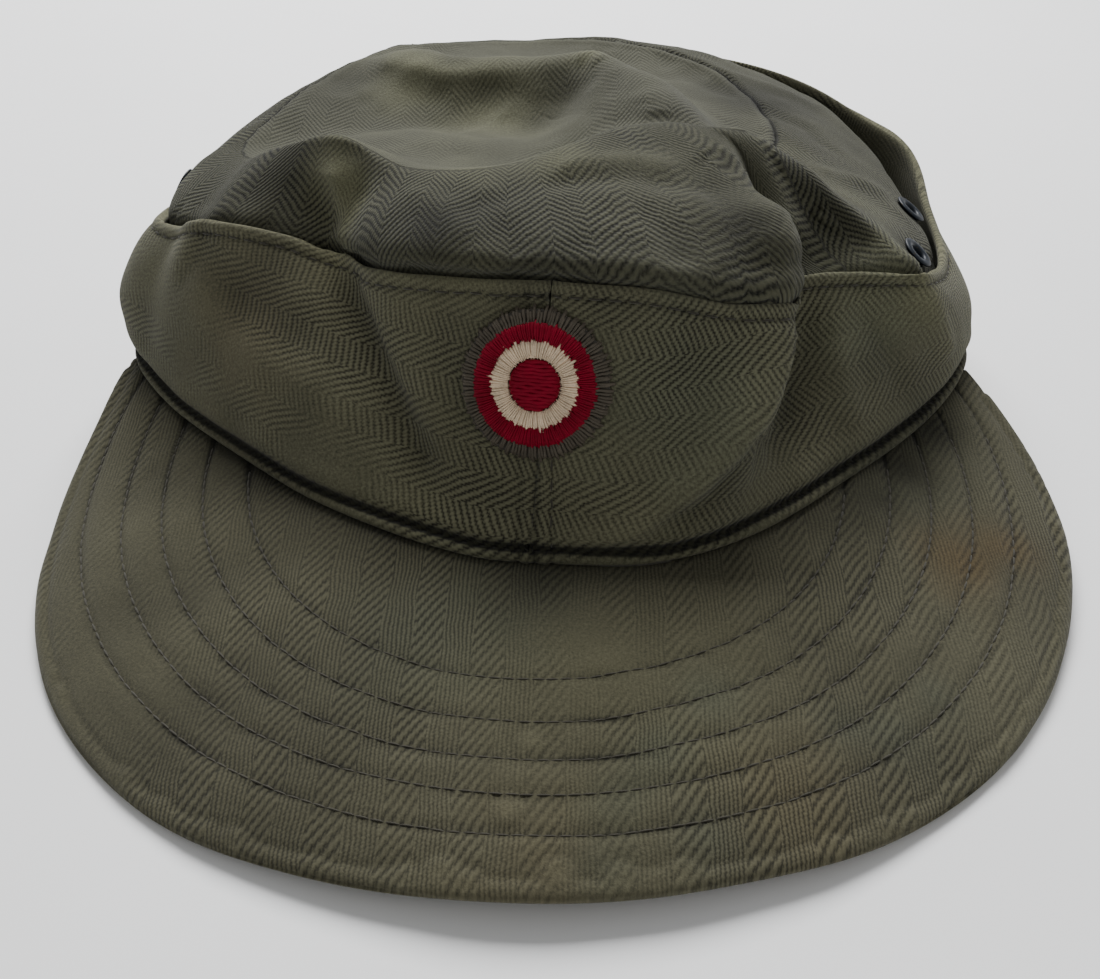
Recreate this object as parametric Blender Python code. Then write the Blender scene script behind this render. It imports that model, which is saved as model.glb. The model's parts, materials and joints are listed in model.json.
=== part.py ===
# Field cap of herringbone twill, as it lies on a table by itself.
#
# The cap has a soft crown (a side wall and a top panel), a turned-up band in two
# halves, a stitched peak, an embroidered round cockade and four air eyelets.
# Units are metres. +Z is up and -Y is the front. The pieces are made round the middle
# of the head opening, and the finished cap is then moved so that the middle of its
# outline on the table is the origin. Left and right are as seen by someone facing it.
import math
from collections import namedtuple

import bmesh
import bpy
import numpy as np
from mathutils import Matrix, Vector

# Driving dimensions
HEAD_RADIUS = 0.100      # middle of the head opening to the foot of the band
BAND_TOP = 0.066         # height of the band's top edge at the front
BAND_BELLY = 0.010       # how far the band may bulge between its two edges
BAND_WALL = 0.0026       # two layers of twill
RIM_RISE = 0.018         # how far the peak holds the foot of the band off the table
CROWN_WALL = 0.0018      # twill with its felled seams
CROWN_RISE = 0.020       # top seam above the band's top edge
CROWN_RADIUS = 0.064     # middle of the top panel to its seam
CROWN_SHIFT_X = -0.012   # the slack top has slid to one side
CROWN_SHIFT_Y = 0.022
CROWN_SINK = 0.004       # how far the middle of the top panel lies under its lowest seam
BAND_SLACK = 0.0012      # how far the crown hangs back behind the middle of the band
STAND_OFF = 0.008        # gap that the slack crown may leave behind the band's edge
PUFF_OUT = 0.014         # how far the crown cloth rolls out over the band
PUFF_UP = 0.009
PEAK_REACH = 0.110       # peak centre to the peak's front edge
PEAK_CENTRE_Y = -0.060
PEAK_WALL = 0.0032       # two layers of twill and the stiff cloth between them
PEAK_LIFT = 0.014        # rise of the peak's corners off the table
PEAK_ARCH = 0.0015       # crown of the peak between its two edges
PEAK_TUCK = 0.0046       # how far the peak reaches in under the band and the crown
COCKADE_RADIUS = 0.0125  # outer ring
WHITE_RADIUS = 0.0091    # middle ring
CENTRE_RADIUS = 0.0053   # solid centre
BORDER = 0.0024          # satin border round the outer ring
EMBROIDERY = 0.0009      # height of the raised rings
BACKING_WALL = 0.0008
EYELET_RADIUS = 0.0043   # flange
EYELET_HOLE = 0.0021
EYELET_BARREL = 0.0028   # outer radius of the barrel in the cloth
EYELET_FLANGE = 0.0007
EYELET_SIDES = 14
CLEARANCE = 0.0003       # gap between neighbouring pieces
COLUMN = 0.0082          # spacing of the mesh columns round the cap

# One row for each section line, which runs up the cloth from the foot of the band
# to the top seam. Turns are degrees round the cap, 0 at the front. The rest are
# shares: reach of HEAD_RADIUS, rim_lift of RIM_RISE, belly of BAND_BELLY, top_lift
# of BAND_TOP, stand of STAND_OFF, puff of PUFF_OUT and PUFF_UP, seam_reach of
# CROWN_RADIUS and seam_rise of CROWN_RISE. Sweep says where along the band the line
# turns: under 1 near the foot, over 1 near the top edge.
Section = namedtuple("Section", "name rim_turn rim_reach rim_lift belly sweep top_turn "
                     "top_reach top_lift stand puff seam_turn seam_reach seam_rise")
SECTIONS = [Section(*row) for row in (
    ("back_seam",    -180, 0.98, 0.00, 0.40, 1.0, -180, 1.000, 0.80, 0.40, 0.30, -180, 1.00, 0.53),
    ("back_left",    -155, 0.98, 0.00, 0.40, 1.0, -155, 0.985, 0.76, 0.40, 0.30, -154, 0.95, 0.78),
    ("quarter_left", -130, 1.00, 0.15, 0.40, 1.0, -130, 0.950, 0.70, 0.30, 0.30, -128, 0.84, 1.15),
    ("rear_left",    -108, 1.04, 0.45, 0.50, 1.0, -108, 0.955, 0.66, 0.20, 0.50, -106, 0.87, 1.20),
    ("side_left",     -90, 1.07, 0.78, 0.60, 1.0, -92, 0.970, 0.71, 0.15, 0.60, -87, 0.93, 1.00),
    ("bulge_left",    -77, 1.08, 1.00, 0.75, 1.0, -77, 0.965, 0.81, 0.10, 0.50, -69, 1.09, 0.53),
    ("tuck_left",     -70, 1.06, 1.00, 0.40, 1.0, -71, 0.895, 0.83, 0.10, 0.20, -58, 1.10, 0.60),
    ("ridge_left",    -60, 1.01, 0.95, 0.30, 1.0, -65.5, 0.860, 0.915, 0.10, 0.10, -48, 1.08, 0.65),
    ("face_left",     -44, 0.945, 0.88, 0.20, 1.2, -58, 0.780, 0.94, 0.10, 0.00, -38, 1.03, 0.85),
    ("tent_left",     -28, 0.94, 0.83, 0.10, 1.5, -50, 0.710, 0.94, 0.10, -0.10, -30, 1.01, 0.90),
    ("valley_left",   -17, 0.955, 0.80, 0.00, 1.7, -44, 0.672, 0.91, 0.22, 0.10, -24, 1.00, 0.90),
    ("lobe_left",     -11, 0.96, 0.78, 0.00, 1.6, -36, 0.695, 0.915, 0.12, 0.60, -18, 1.02, 0.78),
    ("front_left",     -6, 0.97, 0.78, -0.10, 1.3, -19, 0.705, 0.97, 0.05, 1.00, -6, 1.00, 0.60),
    ("front_seam",     -1, 0.97, 0.78, -0.15, 1.0, 1.5, 0.720, 1.00, 0.15, 1.00, 6, 0.95, 0.55),
    ("front_right",     4, 0.975, 0.78, -0.10, 0.9, 15, 0.760, 1.00, 0.10, 1.00, 22, 0.85, 0.68),
    ("brow_right",      8, 0.98, 0.78, 0.00, 0.8, 27, 0.800, 0.93, 0.05, 0.90, 34, 0.83, 0.92),
    ("lobe_right",     13, 0.985, 0.78, 0.10, 0.75, 39, 0.820, 0.88, 0.05, 0.70, 44, 0.94, 1.10),
    ("valley_right",   26, 0.98, 0.78, -0.10, 0.8, 46.5, 0.735, 0.87, 0.10, -0.20, 46.5, 1.06, 1.08),
    ("face_right",     45, 0.945, 0.83, 0.10, 0.9, 57, 0.775, 0.825, 0.10, -0.20, 49.3, 1.12, 1.17),
    ("crease_right",   78, 1.04, 0.95, 0.20, 1.0, 67, 0.895, 0.77, 0.10, 0.10, 52, 1.12, 1.25),
    ("side_right",     86, 1.05, 0.83, 0.40, 1.0, 81, 0.945, 0.68, 0.10, 0.40, 68, 1.06, 1.00),
    ("rear_right",    100, 1.03, 0.60, 0.45, 1.0, 97, 0.950, 0.70, 0.25, 0.40, 84, 1.04, 0.88),
    ("quarter_right", 118, 1.02, 0.33, 0.45, 1.0, 116, 0.995, 0.76, 0.50, 0.40, 103, 1.02, 0.65),
    ("back_right",    136, 1.01, 0.10, 0.45, 1.0, 135, 1.040, 0.83, 0.65, 0.30, 121, 1.03, 0.45),
    ("end_right",     157, 0.98, 0.00, 0.40, 1.0, 156, 1.055, 0.86, 0.60, 0.30, 145, 0.98, 0.50),
)]
NAMES = [section.name for section in SECTIONS]
FRONT = NAMES.index("front_seam")

# Folds of the wall: the path is (section, level, height as a share of FOLD), with
# level 0 at the rim, 1 at the band's top edge and 2 at the top seam. Folds of the top
# panel: the path is (x, y) as shares of CROWN_RADIUS from the middle of the head
# opening, and the height over BAND_TOP as a share of CROWN_RISE.
FOLD = 0.006
FOLD_FADE = 0.4          # the wall's folds run out over this share of the crown's rise
Fold = namedtuple("Fold", "name width sharp path")
WALL_FOLDS = (
    Fold("crease_right", 0.009, True, ((19.0, 0.25, 0.1), (19.0, 1.0, 0.6), (19.0, 1.9, 0.7))),
    Fold("lobe_edge", 0.007, False, ((15.8, 0.08, 0.1), (16.0, 0.5, 1.0), (16.0, 1.6, 0.5))),
    Fold("lobe_valley", 0.010, True, ((16.7, 0.08, -0.1), (17.0, 0.5, -1.4), (17.3, 1.7, -0.6))),
    Fold("left_valley", 0.010, False, ((10.1, 0.12, -0.1), (10.1, 0.6, -0.7), (10.1, 1.0, -0.4),
                                       (10.1, 1.6, -0.6))),
    Fold("left_ridge", 0.010, False, ((7.0, 0.3, 0.0), (7.0, 0.8, 0.4), (7.0, 1.3, 0.4))),
)
TOP_FOLDS = (
    Fold("front_hollow", 0.020, False, ((-0.60, -0.10, 0.10), (0.0, -0.18, 0.00), (0.2, -0.10, 0.10))),
    Fold("rear_hollow", 0.020, False, ((0.66, 0.20, -0.12), (0.50, 0.60, -0.12), (0.05, 0.95, -0.12),
                                       (-0.45, 1.00, -0.10))),
    Fold("main_ridge", 0.014, False, ((0.66, -0.41, 0.60), (0.44, -0.16, 0.70), (0.30, 0.14, 0.70),
                                      (0.12, 0.45, 0.62), (-0.10, 0.48, 0.54), (-0.50, 0.62, 0.40),
                                      (-0.86, 0.81, 0.22))),
)


def ring_curve(column, full_turn=0.0):
    """Smooth closed curve through one column of the sections, without overshoot."""
    values = np.array([getattr(section, column) for section in SECTIONS], float)
    count = len(values)
    values = np.concatenate((values[-2:] - full_turn, values, values[:3] + full_turn))
    steps = np.diff(values)
    before, after = steps[:-1], steps[1:]
    same_way = before * after > 0
    slopes = np.where(same_way, 2 * before * after / np.where(same_way, before + after, 1), 0)

    def curve(place):
        place = np.asarray(place, float)
        whole = np.floor(place).astype(int)
        part = place - whole
        laps, row = np.divmod(whole, count)
        start, end = values[row + 2], values[row + 3]
        leave, arrive = slopes[row + 1], slopes[row + 2]
        return (start + laps * full_turn
                + part * (leave + part * (3 * (end - start) - 2 * leave - arrive
                                          + part * (2 * (start - end) + leave + arrive))))
    return curve


CURVES = {name: ring_curve(name, 360.0 if name.endswith("turn") else 0.0)
          for name in Section._fields if name != "name"}


def unit(vectors):
    """The same directions with a length of 1."""
    return vectors / np.linalg.norm(vectors, axis=-1, keepdims=True)


def polar(turn, reach, height):
    """Point at a turn in degrees round the cap, 0 at the front."""
    angle = np.radians(turn)
    return np.stack((np.sin(angle) * reach, -np.cos(angle) * reach,
                     height * np.ones_like(reach)), -1)


def band_base(place, level):
    """Outer face of the band before its folds, level 0 at the foot and 1 at the top edge."""
    place, level = np.broadcast_arrays(np.asarray(place, float), np.asarray(level, float))
    column = {name: CURVES[name](place) for name in CURVES}
    along_line = np.clip(level, 1e-4, None) ** column["sweep"]
    turn = column["rim_turn"] + along_line * (column["top_turn"] - column["rim_turn"])
    reach = HEAD_RADIUS * (column["rim_reach"] + level * (column["top_reach"] - column["rim_reach"]))
    reach = reach + BAND_BELLY * column["belly"] * np.sin(math.pi * np.clip(level, 0, 1))
    foot = RIM_RISE * column["rim_lift"]
    return polar(turn, reach, foot + level * (BAND_TOP * column["top_lift"] - foot))


def facing(surface, place, level):
    """Outward unit normal of a surface of place and level."""
    step = 0.01
    across = surface(place + step, level) - surface(place - step, level)
    upward = surface(place, level + step) - surface(place, level - step)
    return unit(np.cross(across, upward))


def along(path, per_leg=14):
    """Points spread evenly along a fold's path."""
    path = np.array(path, float)
    legs = [np.linspace(start, end, per_leg, endpoint=False) for start, end in zip(path, path[1:])]
    return np.concatenate(legs + [path[-1:]])


def fold_weight(points, fold, line, heights):
    """Weight of a fold at each point, 1 on its line, and its height there."""
    gaps = np.linalg.norm(points[..., None, :] - line, axis=-1) / fold.width
    nearest = gaps.min(-1)
    near = np.exp(-3 * (gaps ** 2 - nearest[..., None] ** 2))
    height = (near * heights).sum(-1) / near.sum(-1)
    return np.exp(-1.6 * nearest) if fold.sharp else np.exp(-nearest ** 2), height


def wall_push(points):
    """How far the wall's folds push each of its points out."""
    total = np.zeros(points.shape[:-1])
    for fold in WALL_FOLDS:
        if fold.name not in PATHS:
            path = along(fold.path)
            PATHS[fold.name] = (wall_base(path[:, 0], path[:, 1]), FOLD * path[:, 2])
        weight, height = fold_weight(points, fold, *PATHS[fold.name])
        total = total + weight * height
    return total


PATHS = {}


def seam_point(place):
    """Top seam of the crown."""
    column = {name: CURVES[name](place) for name in CURVES}
    height = BAND_TOP * column["top_lift"] + CROWN_RISE * column["seam_rise"]
    point = polar(column["seam_turn"], CROWN_RADIUS * column["seam_reach"], height)
    return point + np.array((CROWN_SHIFT_X, CROWN_SHIFT_Y, 0))


def shoulder_base(place, rise):
    """Crown side above the band, from the band's edge (0) to the top seam (1)."""
    place, rise = np.broadcast_arrays(np.asarray(place, float), np.asarray(rise, float))
    edge = band_base(place, 1.0)
    out = facing(band_base, place, np.ones_like(place))
    behind = BAND_WALL + CLEARANCE + STAND_OFF * CURVES["stand"](place)
    start = edge - out * behind[..., None]
    end = seam_point(place)
    level_out = out * np.array((1, 1, 0))
    puff = CURVES["puff"](place)[..., None]
    first = start + puff * (level_out * PUFF_OUT + np.array((0, 0, PUFF_UP)))
    second = end + puff * level_out * PUFF_OUT
    t = rise[..., None]
    return (start * (1 - t) ** 3 + first * 3 * t * (1 - t) ** 2
            + second * 3 * t ** 2 * (1 - t) + end * t ** 3)


def shoulder_surface(place, rise):
    """Outer face of the crown side above the band, folds included."""
    base = shoulder_base(place, rise)
    push = wall_push(base) * np.clip((1 - rise) / FOLD_FADE, 0, 1)
    return base + facing(shoulder_base, place, rise) * push[..., None]


def wall_base(place, level):
    """Whole wall: the band up to level 1, the crown side from there to level 2."""
    place, level = np.broadcast_arrays(np.asarray(place, float), np.asarray(level, float))
    low = band_base(place, np.minimum(level, 1))
    high = shoulder_base(place, np.maximum(level, 1) - 1)
    return np.where((level <= 1)[..., None], low, high)


def upright(normal, level):
    """Level the normals near the foot, so that the cloth ends in a flat edge."""
    tilt = np.clip(level / 0.12, 0, 1)[..., None]
    return unit(normal * np.concatenate((np.ones_like(normal[..., :2]), tilt), -1))


def band_surface(place, level, offset):
    """Point of the band, folds included, offset outwards from its outer face."""
    place, level, offset = np.broadcast_arrays(*(np.asarray(v, float) for v in (place, level, offset)))
    base = band_base(place, level)
    normal = upright(facing(band_base, place, level), level)
    push = wall_push(base) + offset
    return base + normal * push[..., None]


def columns():
    """Places of the mesh columns: evenly spread between each two sections."""
    places = []
    for row in range(len(SECTIONS)):
        fine = np.linspace(row, row + 1, 9)
        span = np.mean([np.linalg.norm(np.diff(band_base(fine, level), axis=0), axis=1).sum()
                        for level in (0.3, 1.0)])
        count = max(2, round(span / COLUMN))
        places.extend(np.linspace(row, row + 1, count + count % 2, endpoint=False))
    return np.array(places)


SHARP_ANGLE = 70.0


def new_object(name, vertices, faces, colour, roughness=0.95, metallic=0.0):
    """Closed mesh with its own material, shaded smooth."""
    mesh = bpy.data.meshes.new(name)
    mesh.from_pydata([tuple(v) for v in vertices], [], faces)
    piece = bpy.data.objects.new(name, mesh)
    bpy.context.collection.objects.link(piece)
    shell = bmesh.new()
    shell.from_mesh(mesh)
    bmesh.ops.triangulate(shell, faces=[f for f in shell.faces if len(f.verts) > 3])
    bmesh.ops.recalc_face_normals(shell, faces=shell.faces)
    shell.to_mesh(mesh)
    shell.free()
    mesh.shade_smooth()
    mesh.set_sharp_from_angle(angle=math.radians(SHARP_ANGLE))
    material = bpy.data.materials.new(name)
    material.use_nodes = True
    shader = material.node_tree.nodes["Principled BSDF"]
    shader.inputs["Base Color"].default_value = (*colour, 1)
    shader.inputs["Roughness"].default_value = roughness
    shader.inputs["Metallic"].default_value = metallic
    mesh.materials.append(material)
    return piece


def loft(rows, closed):
    """Vertices and triangles of a skin of rings: rows[i][j] is point j of column i.

    Each column is a closed outline. The diagonals run the same way up the cloth on
    both faces of a wall, so neighbouring walls keep their gap."""
    count, around = rows.shape[:2]
    vertices = rows.reshape(-1, 3)
    faces = []
    for i in range(count if closed else count - 1):
        k = (i + 1) % count
        for j in range(around):
            m = (j + 1) % around
            a, b, c, d = i * around + j, k * around + j, k * around + m, i * around + m
            rising = rows[i, m, 2] >= rows[i, j, 2]
            faces += [(a, b, c), (a, c, d)] if rising else [(a, b, d), (b, c, d)]
    if not closed:
        faces.append(tuple(range(around)))
        faces.append(tuple(reversed(range((count - 1) * around, count * around))))
    return vertices, faces


TWILL = (0.085, 0.080, 0.055)
RED = (0.30, 0.010, 0.020)
OFF_WHITE = (0.72, 0.66, 0.55)
GREY_BROWN = (0.045, 0.040, 0.033)
DARK_PAINT = (0.012, 0.020, 0.028)
PLAIN = (0.5, 0.5, 0.5)


# Rows of the band's cross-section: level and offset out of the face
BAND_OUTER = ((0.000, -0.0006), (0.030, 0.0009), (0.065, 0.0006), (0.095, -0.0004), (0.22, 0.0),
              (0.38, 0.0), (0.54, 0.0), (0.70, 0.0), (0.85, 0.0), (0.945, -0.0002), (1.0, 0.0002))
BAND_INNER_LEVELS = (1.0, 0.70, 0.38, 0.0)


def make_band(name, places):
    """One half of the turned-up band, from its bottom roll to its top edge."""
    outline = [band_surface(places, level, offset) for level, offset in BAND_OUTER]
    outline += [band_surface(places, level, -BAND_WALL) for level in BAND_INNER_LEVELS]
    return new_object(name, *loft(np.stack(outline, 1), closed=False), TWILL)


def half_places(places, first, last):
    """Columns from one seam to the next, drawn in by half the gap at both ends."""
    inside = places[(places > first) & (places < last)]
    trims = []
    for seam, way in ((first, 1), (last, -1)):
        reach = np.linalg.norm(band_base(seam + way * 0.05, 0.9) - band_base(seam, 0.9))
        trims.append(seam + way * 0.05 * 0.5 * CLEARANCE / reach)
    return np.concatenate(([trims[0]], inside, [trims[1]]))


def top_height(points):
    """Height of the top panel, which each fold in turn draws to its own height."""
    flat = points * np.array((1, 1, 0))
    height = points[..., 2]
    for fold in TOP_FOLDS:
        path = along(fold.path)
        line = path * np.array((CROWN_RADIUS, CROWN_RADIUS, 0))
        weight, drawn = fold_weight(flat, fold, line, BAND_TOP + CROWN_RISE * path[:, 2])
        height = height + weight * (drawn - height)
    return height


INSIDE_LEVELS = (0.0, 0.38, 0.70, 1.0)
SHOULDER = (0.12, 0.28, 0.46, 0.64, 0.82, 1.0)
PANEL = (0.91, 0.82, 0.73, 0.64, 0.55, 0.46, 0.37, 0.28, 0.19, 0.10)
HALVED = 0.60            # rings inside this share have half the columns
PANEL_UNDER = (0.82, 0.64, 0.46, 0.28, 0.10)
INNER_ROWS = (0, 2, 3, 5, 7, 9)


def crown_grid(places):
    """Outer face of the whole crown: rows from the rim to the middle of the top."""
    rows = [band_surface(places, level, -BAND_WALL - CLEARANCE - BAND_SLACK * math.sin(math.pi * level)
                         - STAND_OFF * CURVES["stand"](places) * level) for level in INSIDE_LEVELS]
    rows += [flatten_seats(shoulder_surface(places, np.full_like(places, rise))) for rise in SHOULDER]
    seam = seam_point(places)
    middle = np.array((CROWN_SHIFT_X, CROWN_SHIFT_Y, seam[:, 2].min() - CROWN_SINK))
    for share in PANEL:
        row = middle + (seam - middle) * np.array((share, share, share ** 1.5))
        row[:, 2] += (top_height(row) - row[:, 2]) * min(1, (1 - share) / 0.25)
        rows.append(row)
    middle[2] = top_height(middle)
    return np.stack(rows), middle


def grid_normals(grid, middle):
    """Smooth outward normals of the crown's rows."""
    across = np.roll(grid, -1, 1) - np.roll(grid, 1, 1)
    padded = np.concatenate((grid[:1] * 2 - grid[1:2], grid, np.broadcast_to(middle, grid[:1].shape)))
    upward = padded[2:] - padded[:-2]
    normal = np.cross(across, upward)
    normal[0, :, 2] = 0
    return unit(normal)


# Eyelets: section and level of each one's middle on the wall
EYELETS = {"right_front": (19.58, 1.21), "right_rear": (20.65, 1.25),
           "left_front": (4.3, 1.30), "left_rear": (3.3, 1.30)}
EYELET_FLAT = 0.007      # cloth round an eyelet that is held flat


def eyelet_seat(name):
    """Middle and outward normal of an eyelet on the crown side."""
    place, level = EYELETS[name]
    place, rise = np.array([place]), np.array([level - 1])
    return shoulder_surface(place, rise)[0], facing(shoulder_base, place, rise)[0]


def flatten_seats(points):
    """Hold the cloth flat round the eyelets."""
    for name in EYELETS:
        middle, normal = eyelet_seat(name)
        gap = np.linalg.norm(points - middle, axis=-1)
        hold = np.clip(2 - gap / EYELET_FLAT, 0, 1)[..., None]
        points = points - normal * ((points - middle) @ normal)[..., None] * hold
    return points


def make_eyelet(name, side):
    """Turned flange and barrel through a hole in the crown side."""
    middle, normal = eyelet_seat(name)
    across = unit(np.cross((0, 0, 1), normal))
    upward = np.cross(normal, across)
    deep = -CROWN_WALL - CLEARANCE
    face = CLEARANCE + EYELET_FLANGE
    profile = ((EYELET_HOLE, deep), (EYELET_BARREL, deep), (EYELET_BARREL, CLEARANCE),
               (EYELET_RADIUS, CLEARANCE), (0.94 * EYELET_RADIUS, face - 0.3 * EYELET_FLANGE),
               (0.5 * (EYELET_RADIUS + EYELET_HOLE), face), (EYELET_HOLE, face - 0.4 * EYELET_FLANGE))
    angle = np.linspace(0, 2 * math.pi, EYELET_SIDES, endpoint=False)
    spoke = np.cos(angle)[:, None] * across + np.sin(angle)[:, None] * upward
    rings = [middle + spoke * radius + normal * height for radius, height in profile]
    new_object("eyelet_" + name, *loft(np.stack(rings, 1), closed=True), DARK_PAINT, 0.45, 0.6)
    radius = EYELET_BARREL + CLEARANCE
    depth = 4 * CROWN_WALL
    ends = [middle + spoke * radius - normal * depth], [middle + spoke * radius + normal * depth]
    caps = lid(ends[1], middle + normal * depth, ends[0], middle - normal * depth)
    cutter = new_object("hole_" + name, *caps, PLAIN)
    cutter.hide_render = True
    cutter.display_type = "WIRE"
    hole = side.modifiers.new("hole_" + name, "BOOLEAN")
    hole.operation = "DIFFERENCE"
    hole.solver = "EXACT"
    hole.object = cutter


def make_crown(places):
    """Side wall and top panel, which meet at the top seam."""
    grid, middle = crown_grid(places)
    normals = grid_normals(grid, middle)
    seam = len(INSIDE_LEVELS) + len(SHOULDER) - 1
    below = unit(grid[seam] - grid[seam - 1])
    above = unit(grid[seam + 1] - grid[seam])
    across = np.roll(grid[seam], -1, 0) - np.roll(grid[seam], 1, 0)
    side_normal = unit(np.cross(across, below))
    normals[seam] = unit(side_normal + unit(np.cross(across, above)))
    mitre = np.clip((normals[seam] * side_normal).sum(-1, keepdims=True), 0.5, 1)
    inner = grid - normals * CROWN_WALL
    inner[seam] = grid[seam] - normals[seam] * CROWN_WALL / mitre
    inner[0, :, 2] = grid[0, :, 2]
    half_gap = 0.5 * CLEARANCE * unit(below + above)

    outer_side = [grid[row] for row in range(seam)] + [grid[seam] - half_gap]
    inner_side = [inner[seam] - half_gap] + [inner[row] for row in reversed(INNER_ROWS) if row < seam]
    side = new_object("crown_side", *loft(np.stack(outer_side + inner_side, 1), closed=True), TWILL)

    rings = [grid[seam] + half_gap]
    under = [inner[seam] + half_gap]
    for row, share in enumerate(PANEL, seam + 1):
        step = 2 if share < HALVED else 1
        rings.append(grid[row][::step])
        if share in PANEL_UNDER:
            under.append(inner[row][::step])
    top = new_object("crown_top", *lid(rings, middle, under, middle - np.array((0, 0, CROWN_WALL))), TWILL)
    return side, top


def bridge(lower, upper):
    """Triangles between two rings of vertex numbers, where one may have half as many."""
    faces = []
    count = min(len(lower), len(upper))
    fine_low, fine_high = len(lower) // count, len(upper) // count
    for i in range(count):
        k = (i + 1) % count
        low = [lower[i * fine_low + step] for step in range(fine_low)] + [lower[k * fine_low]]
        high = [upper[i * fine_high + step] for step in range(fine_high)] + [upper[k * fine_high]]
        if len(low) > len(high):
            faces += [(low[0], low[1], high[0]), (low[1], high[1], high[0]), (low[1], low[2], high[1])]
        elif len(low) < len(high):
            faces += [(low[0], high[1], high[0]), (low[0], low[1], high[1]), (low[1], high[2], high[1])]
        else:
            faces += [(low[0], low[1], high[1]), (low[0], high[1], high[0])]
    return faces


def lid(rings, pole, under, under_pole):
    """Vertices and faces of a closed disc: rings and a pole above, the same below."""
    vertices = [under_pole]
    numbered = []
    for ring in list(reversed(under)) + rings:
        numbered.append(list(range(len(vertices), len(vertices) + len(ring))))
        vertices += list(ring)
    vertices.append(pole)
    first, last, end = numbered[0], numbered[-1], len(vertices) - 1
    faces = [(0, first[i], first[i - 1]) for i in range(len(first))]
    for lower, upper in zip(numbered, numbered[1:]):
        faces += bridge(lower, upper)
    faces += [(last[i - 1], last[i], end) for i in range(len(last))]
    return vertices, faces


# Outer edge of the peak: turn round the peak's own centre in degrees, reach as a
# share of PEAK_REACH and lift of the underside as a share of PEAK_LIFT
PEAK_EDGE = ((-108, 1.020, 1.00), (-94, 1.005, 0.62), (-84, 1.012, 0.30), (-69, 1.035, 0.07),
             (-54, 1.048, 0.00), (-36, 1.040, 0.02), (-18, 1.012, 0.18), (0, 1.000, 0.30),
             (18, 1.004, 0.25), (36, 1.030, 0.05), (54, 1.052, 0.00), (68, 1.058, 0.07),
             (80, 1.065, 0.22), (92, 1.050, 0.45), (101, 1.020, 0.75), (111, 1.005, 1.00))
PEAK_LEFT, PEAK_RIGHT = -76.0, 78.0
PEAK_COLUMNS = 46
PEAK_ROWS = (0.0, 0.10, 0.25, 0.42, 0.60, 0.78, 0.92)
PEAK_UNDER_ROWS = (0.92, 0.60, 0.25, 0.0)


def smooth_at(keys, values, where):
    """Smooth curve through a few values, without overshoot."""
    keys, values = np.asarray(keys, float), np.asarray(values, float)
    slopes = np.diff(values) / np.diff(keys)
    same_way = slopes[:-1] * slopes[1:] > 0
    both = np.where(same_way, slopes[:-1] + slopes[1:], 1)
    inner = np.where(same_way, 2 * slopes[:-1] * slopes[1:] / both, 0)
    tangent = np.concatenate((slopes[:1], inner, slopes[-1:]))
    row = np.clip(np.searchsorted(keys, where) - 1, 0, len(keys) - 2)
    width = keys[row + 1] - keys[row]
    t = (where - keys[row]) / width
    leave, arrive, rise = tangent[row] * width, tangent[row + 1] * width, values[row + 1] - values[row]
    return values[row] + t * (leave + t * (3 * rise - 2 * leave - arrive + t * (leave + arrive - 2 * rise)))


def rim_at(turn):
    """Foot of the band at a turn round the cap."""
    fine = np.linspace(0, len(SECTIONS), 1200)
    place = np.interp(turn, CURVES["rim_turn"](fine), fine)
    return band_base(place, 0.0)


def make_peak():
    """Crescent that starts under the foot of the band and comes down to the table."""
    share = np.linspace(0, 1, PEAK_COLUMNS)
    root = rim_at(PEAK_LEFT + share * (PEAK_RIGHT - PEAK_LEFT))
    table = np.array(PEAK_EDGE)
    turn = table[0, 0] + share * (table[-1, 0] - table[0, 0])
    reach = PEAK_REACH * smooth_at(table[:, 0], table[:, 1], turn)
    lift = PEAK_LIFT * smooth_at(table[:, 0], table[:, 2], turn)
    edge = polar(turn, reach, lift + PEAK_WALL) + np.array((0, PEAK_CENTRE_Y, 0))
    root = root - np.array((0, 0, CLEARANCE))
    tuck = root - unit(root * np.array((1, 1, 0))) * PEAK_TUCK
    span = np.linalg.norm((edge - root)[:, :2], axis=1)
    arch = PEAK_ARCH * np.clip(span / (0.5 * PEAK_REACH), 0, 1)

    def across(row):
        point = root + row * (edge - root)
        return point + (arch * math.sin(math.pi * row))[:, None] * np.array((0, 0, 1))
    down = np.array((0, 0, PEAK_WALL))
    bead = unit((edge - root) * np.array((1, 1, 0))) * PEAK_WALL * 0.25
    outline = [tuck] + [across(row) for row in PEAK_ROWS]
    outline += [edge - bead - down * 0.12, edge - down * 0.5, edge - bead - down]
    outline += [across(row) - down for row in PEAK_UNDER_ROWS] + [tuck - down]
    return new_object("peak", *loft(np.stack(outline, 1), closed=False), TWILL)


COCKADE_LEVEL = 0.635
COCKADE_ASIDE = 0.0018   # the cockade is sewn a little to one side of the seam
ROUND = 28


def on_band(right, up, height):
    """Point over the band's front, measured on the cockade's own flat face."""
    middle = np.array((float(FRONT), COCKADE_LEVEL))
    centre = band_surface(middle[0], middle[1], 0.0)
    right = right - COCKADE_ASIDE
    normal = facing(lambda p, v: band_surface(p, v, 0.0), middle[0:1], middle[1:2])[0]
    side = unit(np.cross((0, 0, 1), normal))
    rise = np.cross(normal, side)
    place = np.full(np.shape(right), middle[0])
    level = np.full(np.shape(right), middle[1])
    for _ in range(8):
        here = band_surface(place, level, 0.0)
        step = 0.01
        by_place = (band_surface(place + step, level, 0.0) - here) / step
        by_level = (band_surface(place, level + step, 0.0) - here) / step
        a, b = by_place @ side, by_level @ side
        c, d = by_place @ rise, by_level @ rise
        miss_side = right - (here - centre) @ side
        miss_up = up - (here - centre) @ rise
        det = a * d - b * c
        place = place + (d * miss_side - b * miss_up) / det
        level = level + (a * miss_up - c * miss_side) / det
    return band_surface(place, level, 0.0) + normal * np.asarray(height)[..., None]


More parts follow.
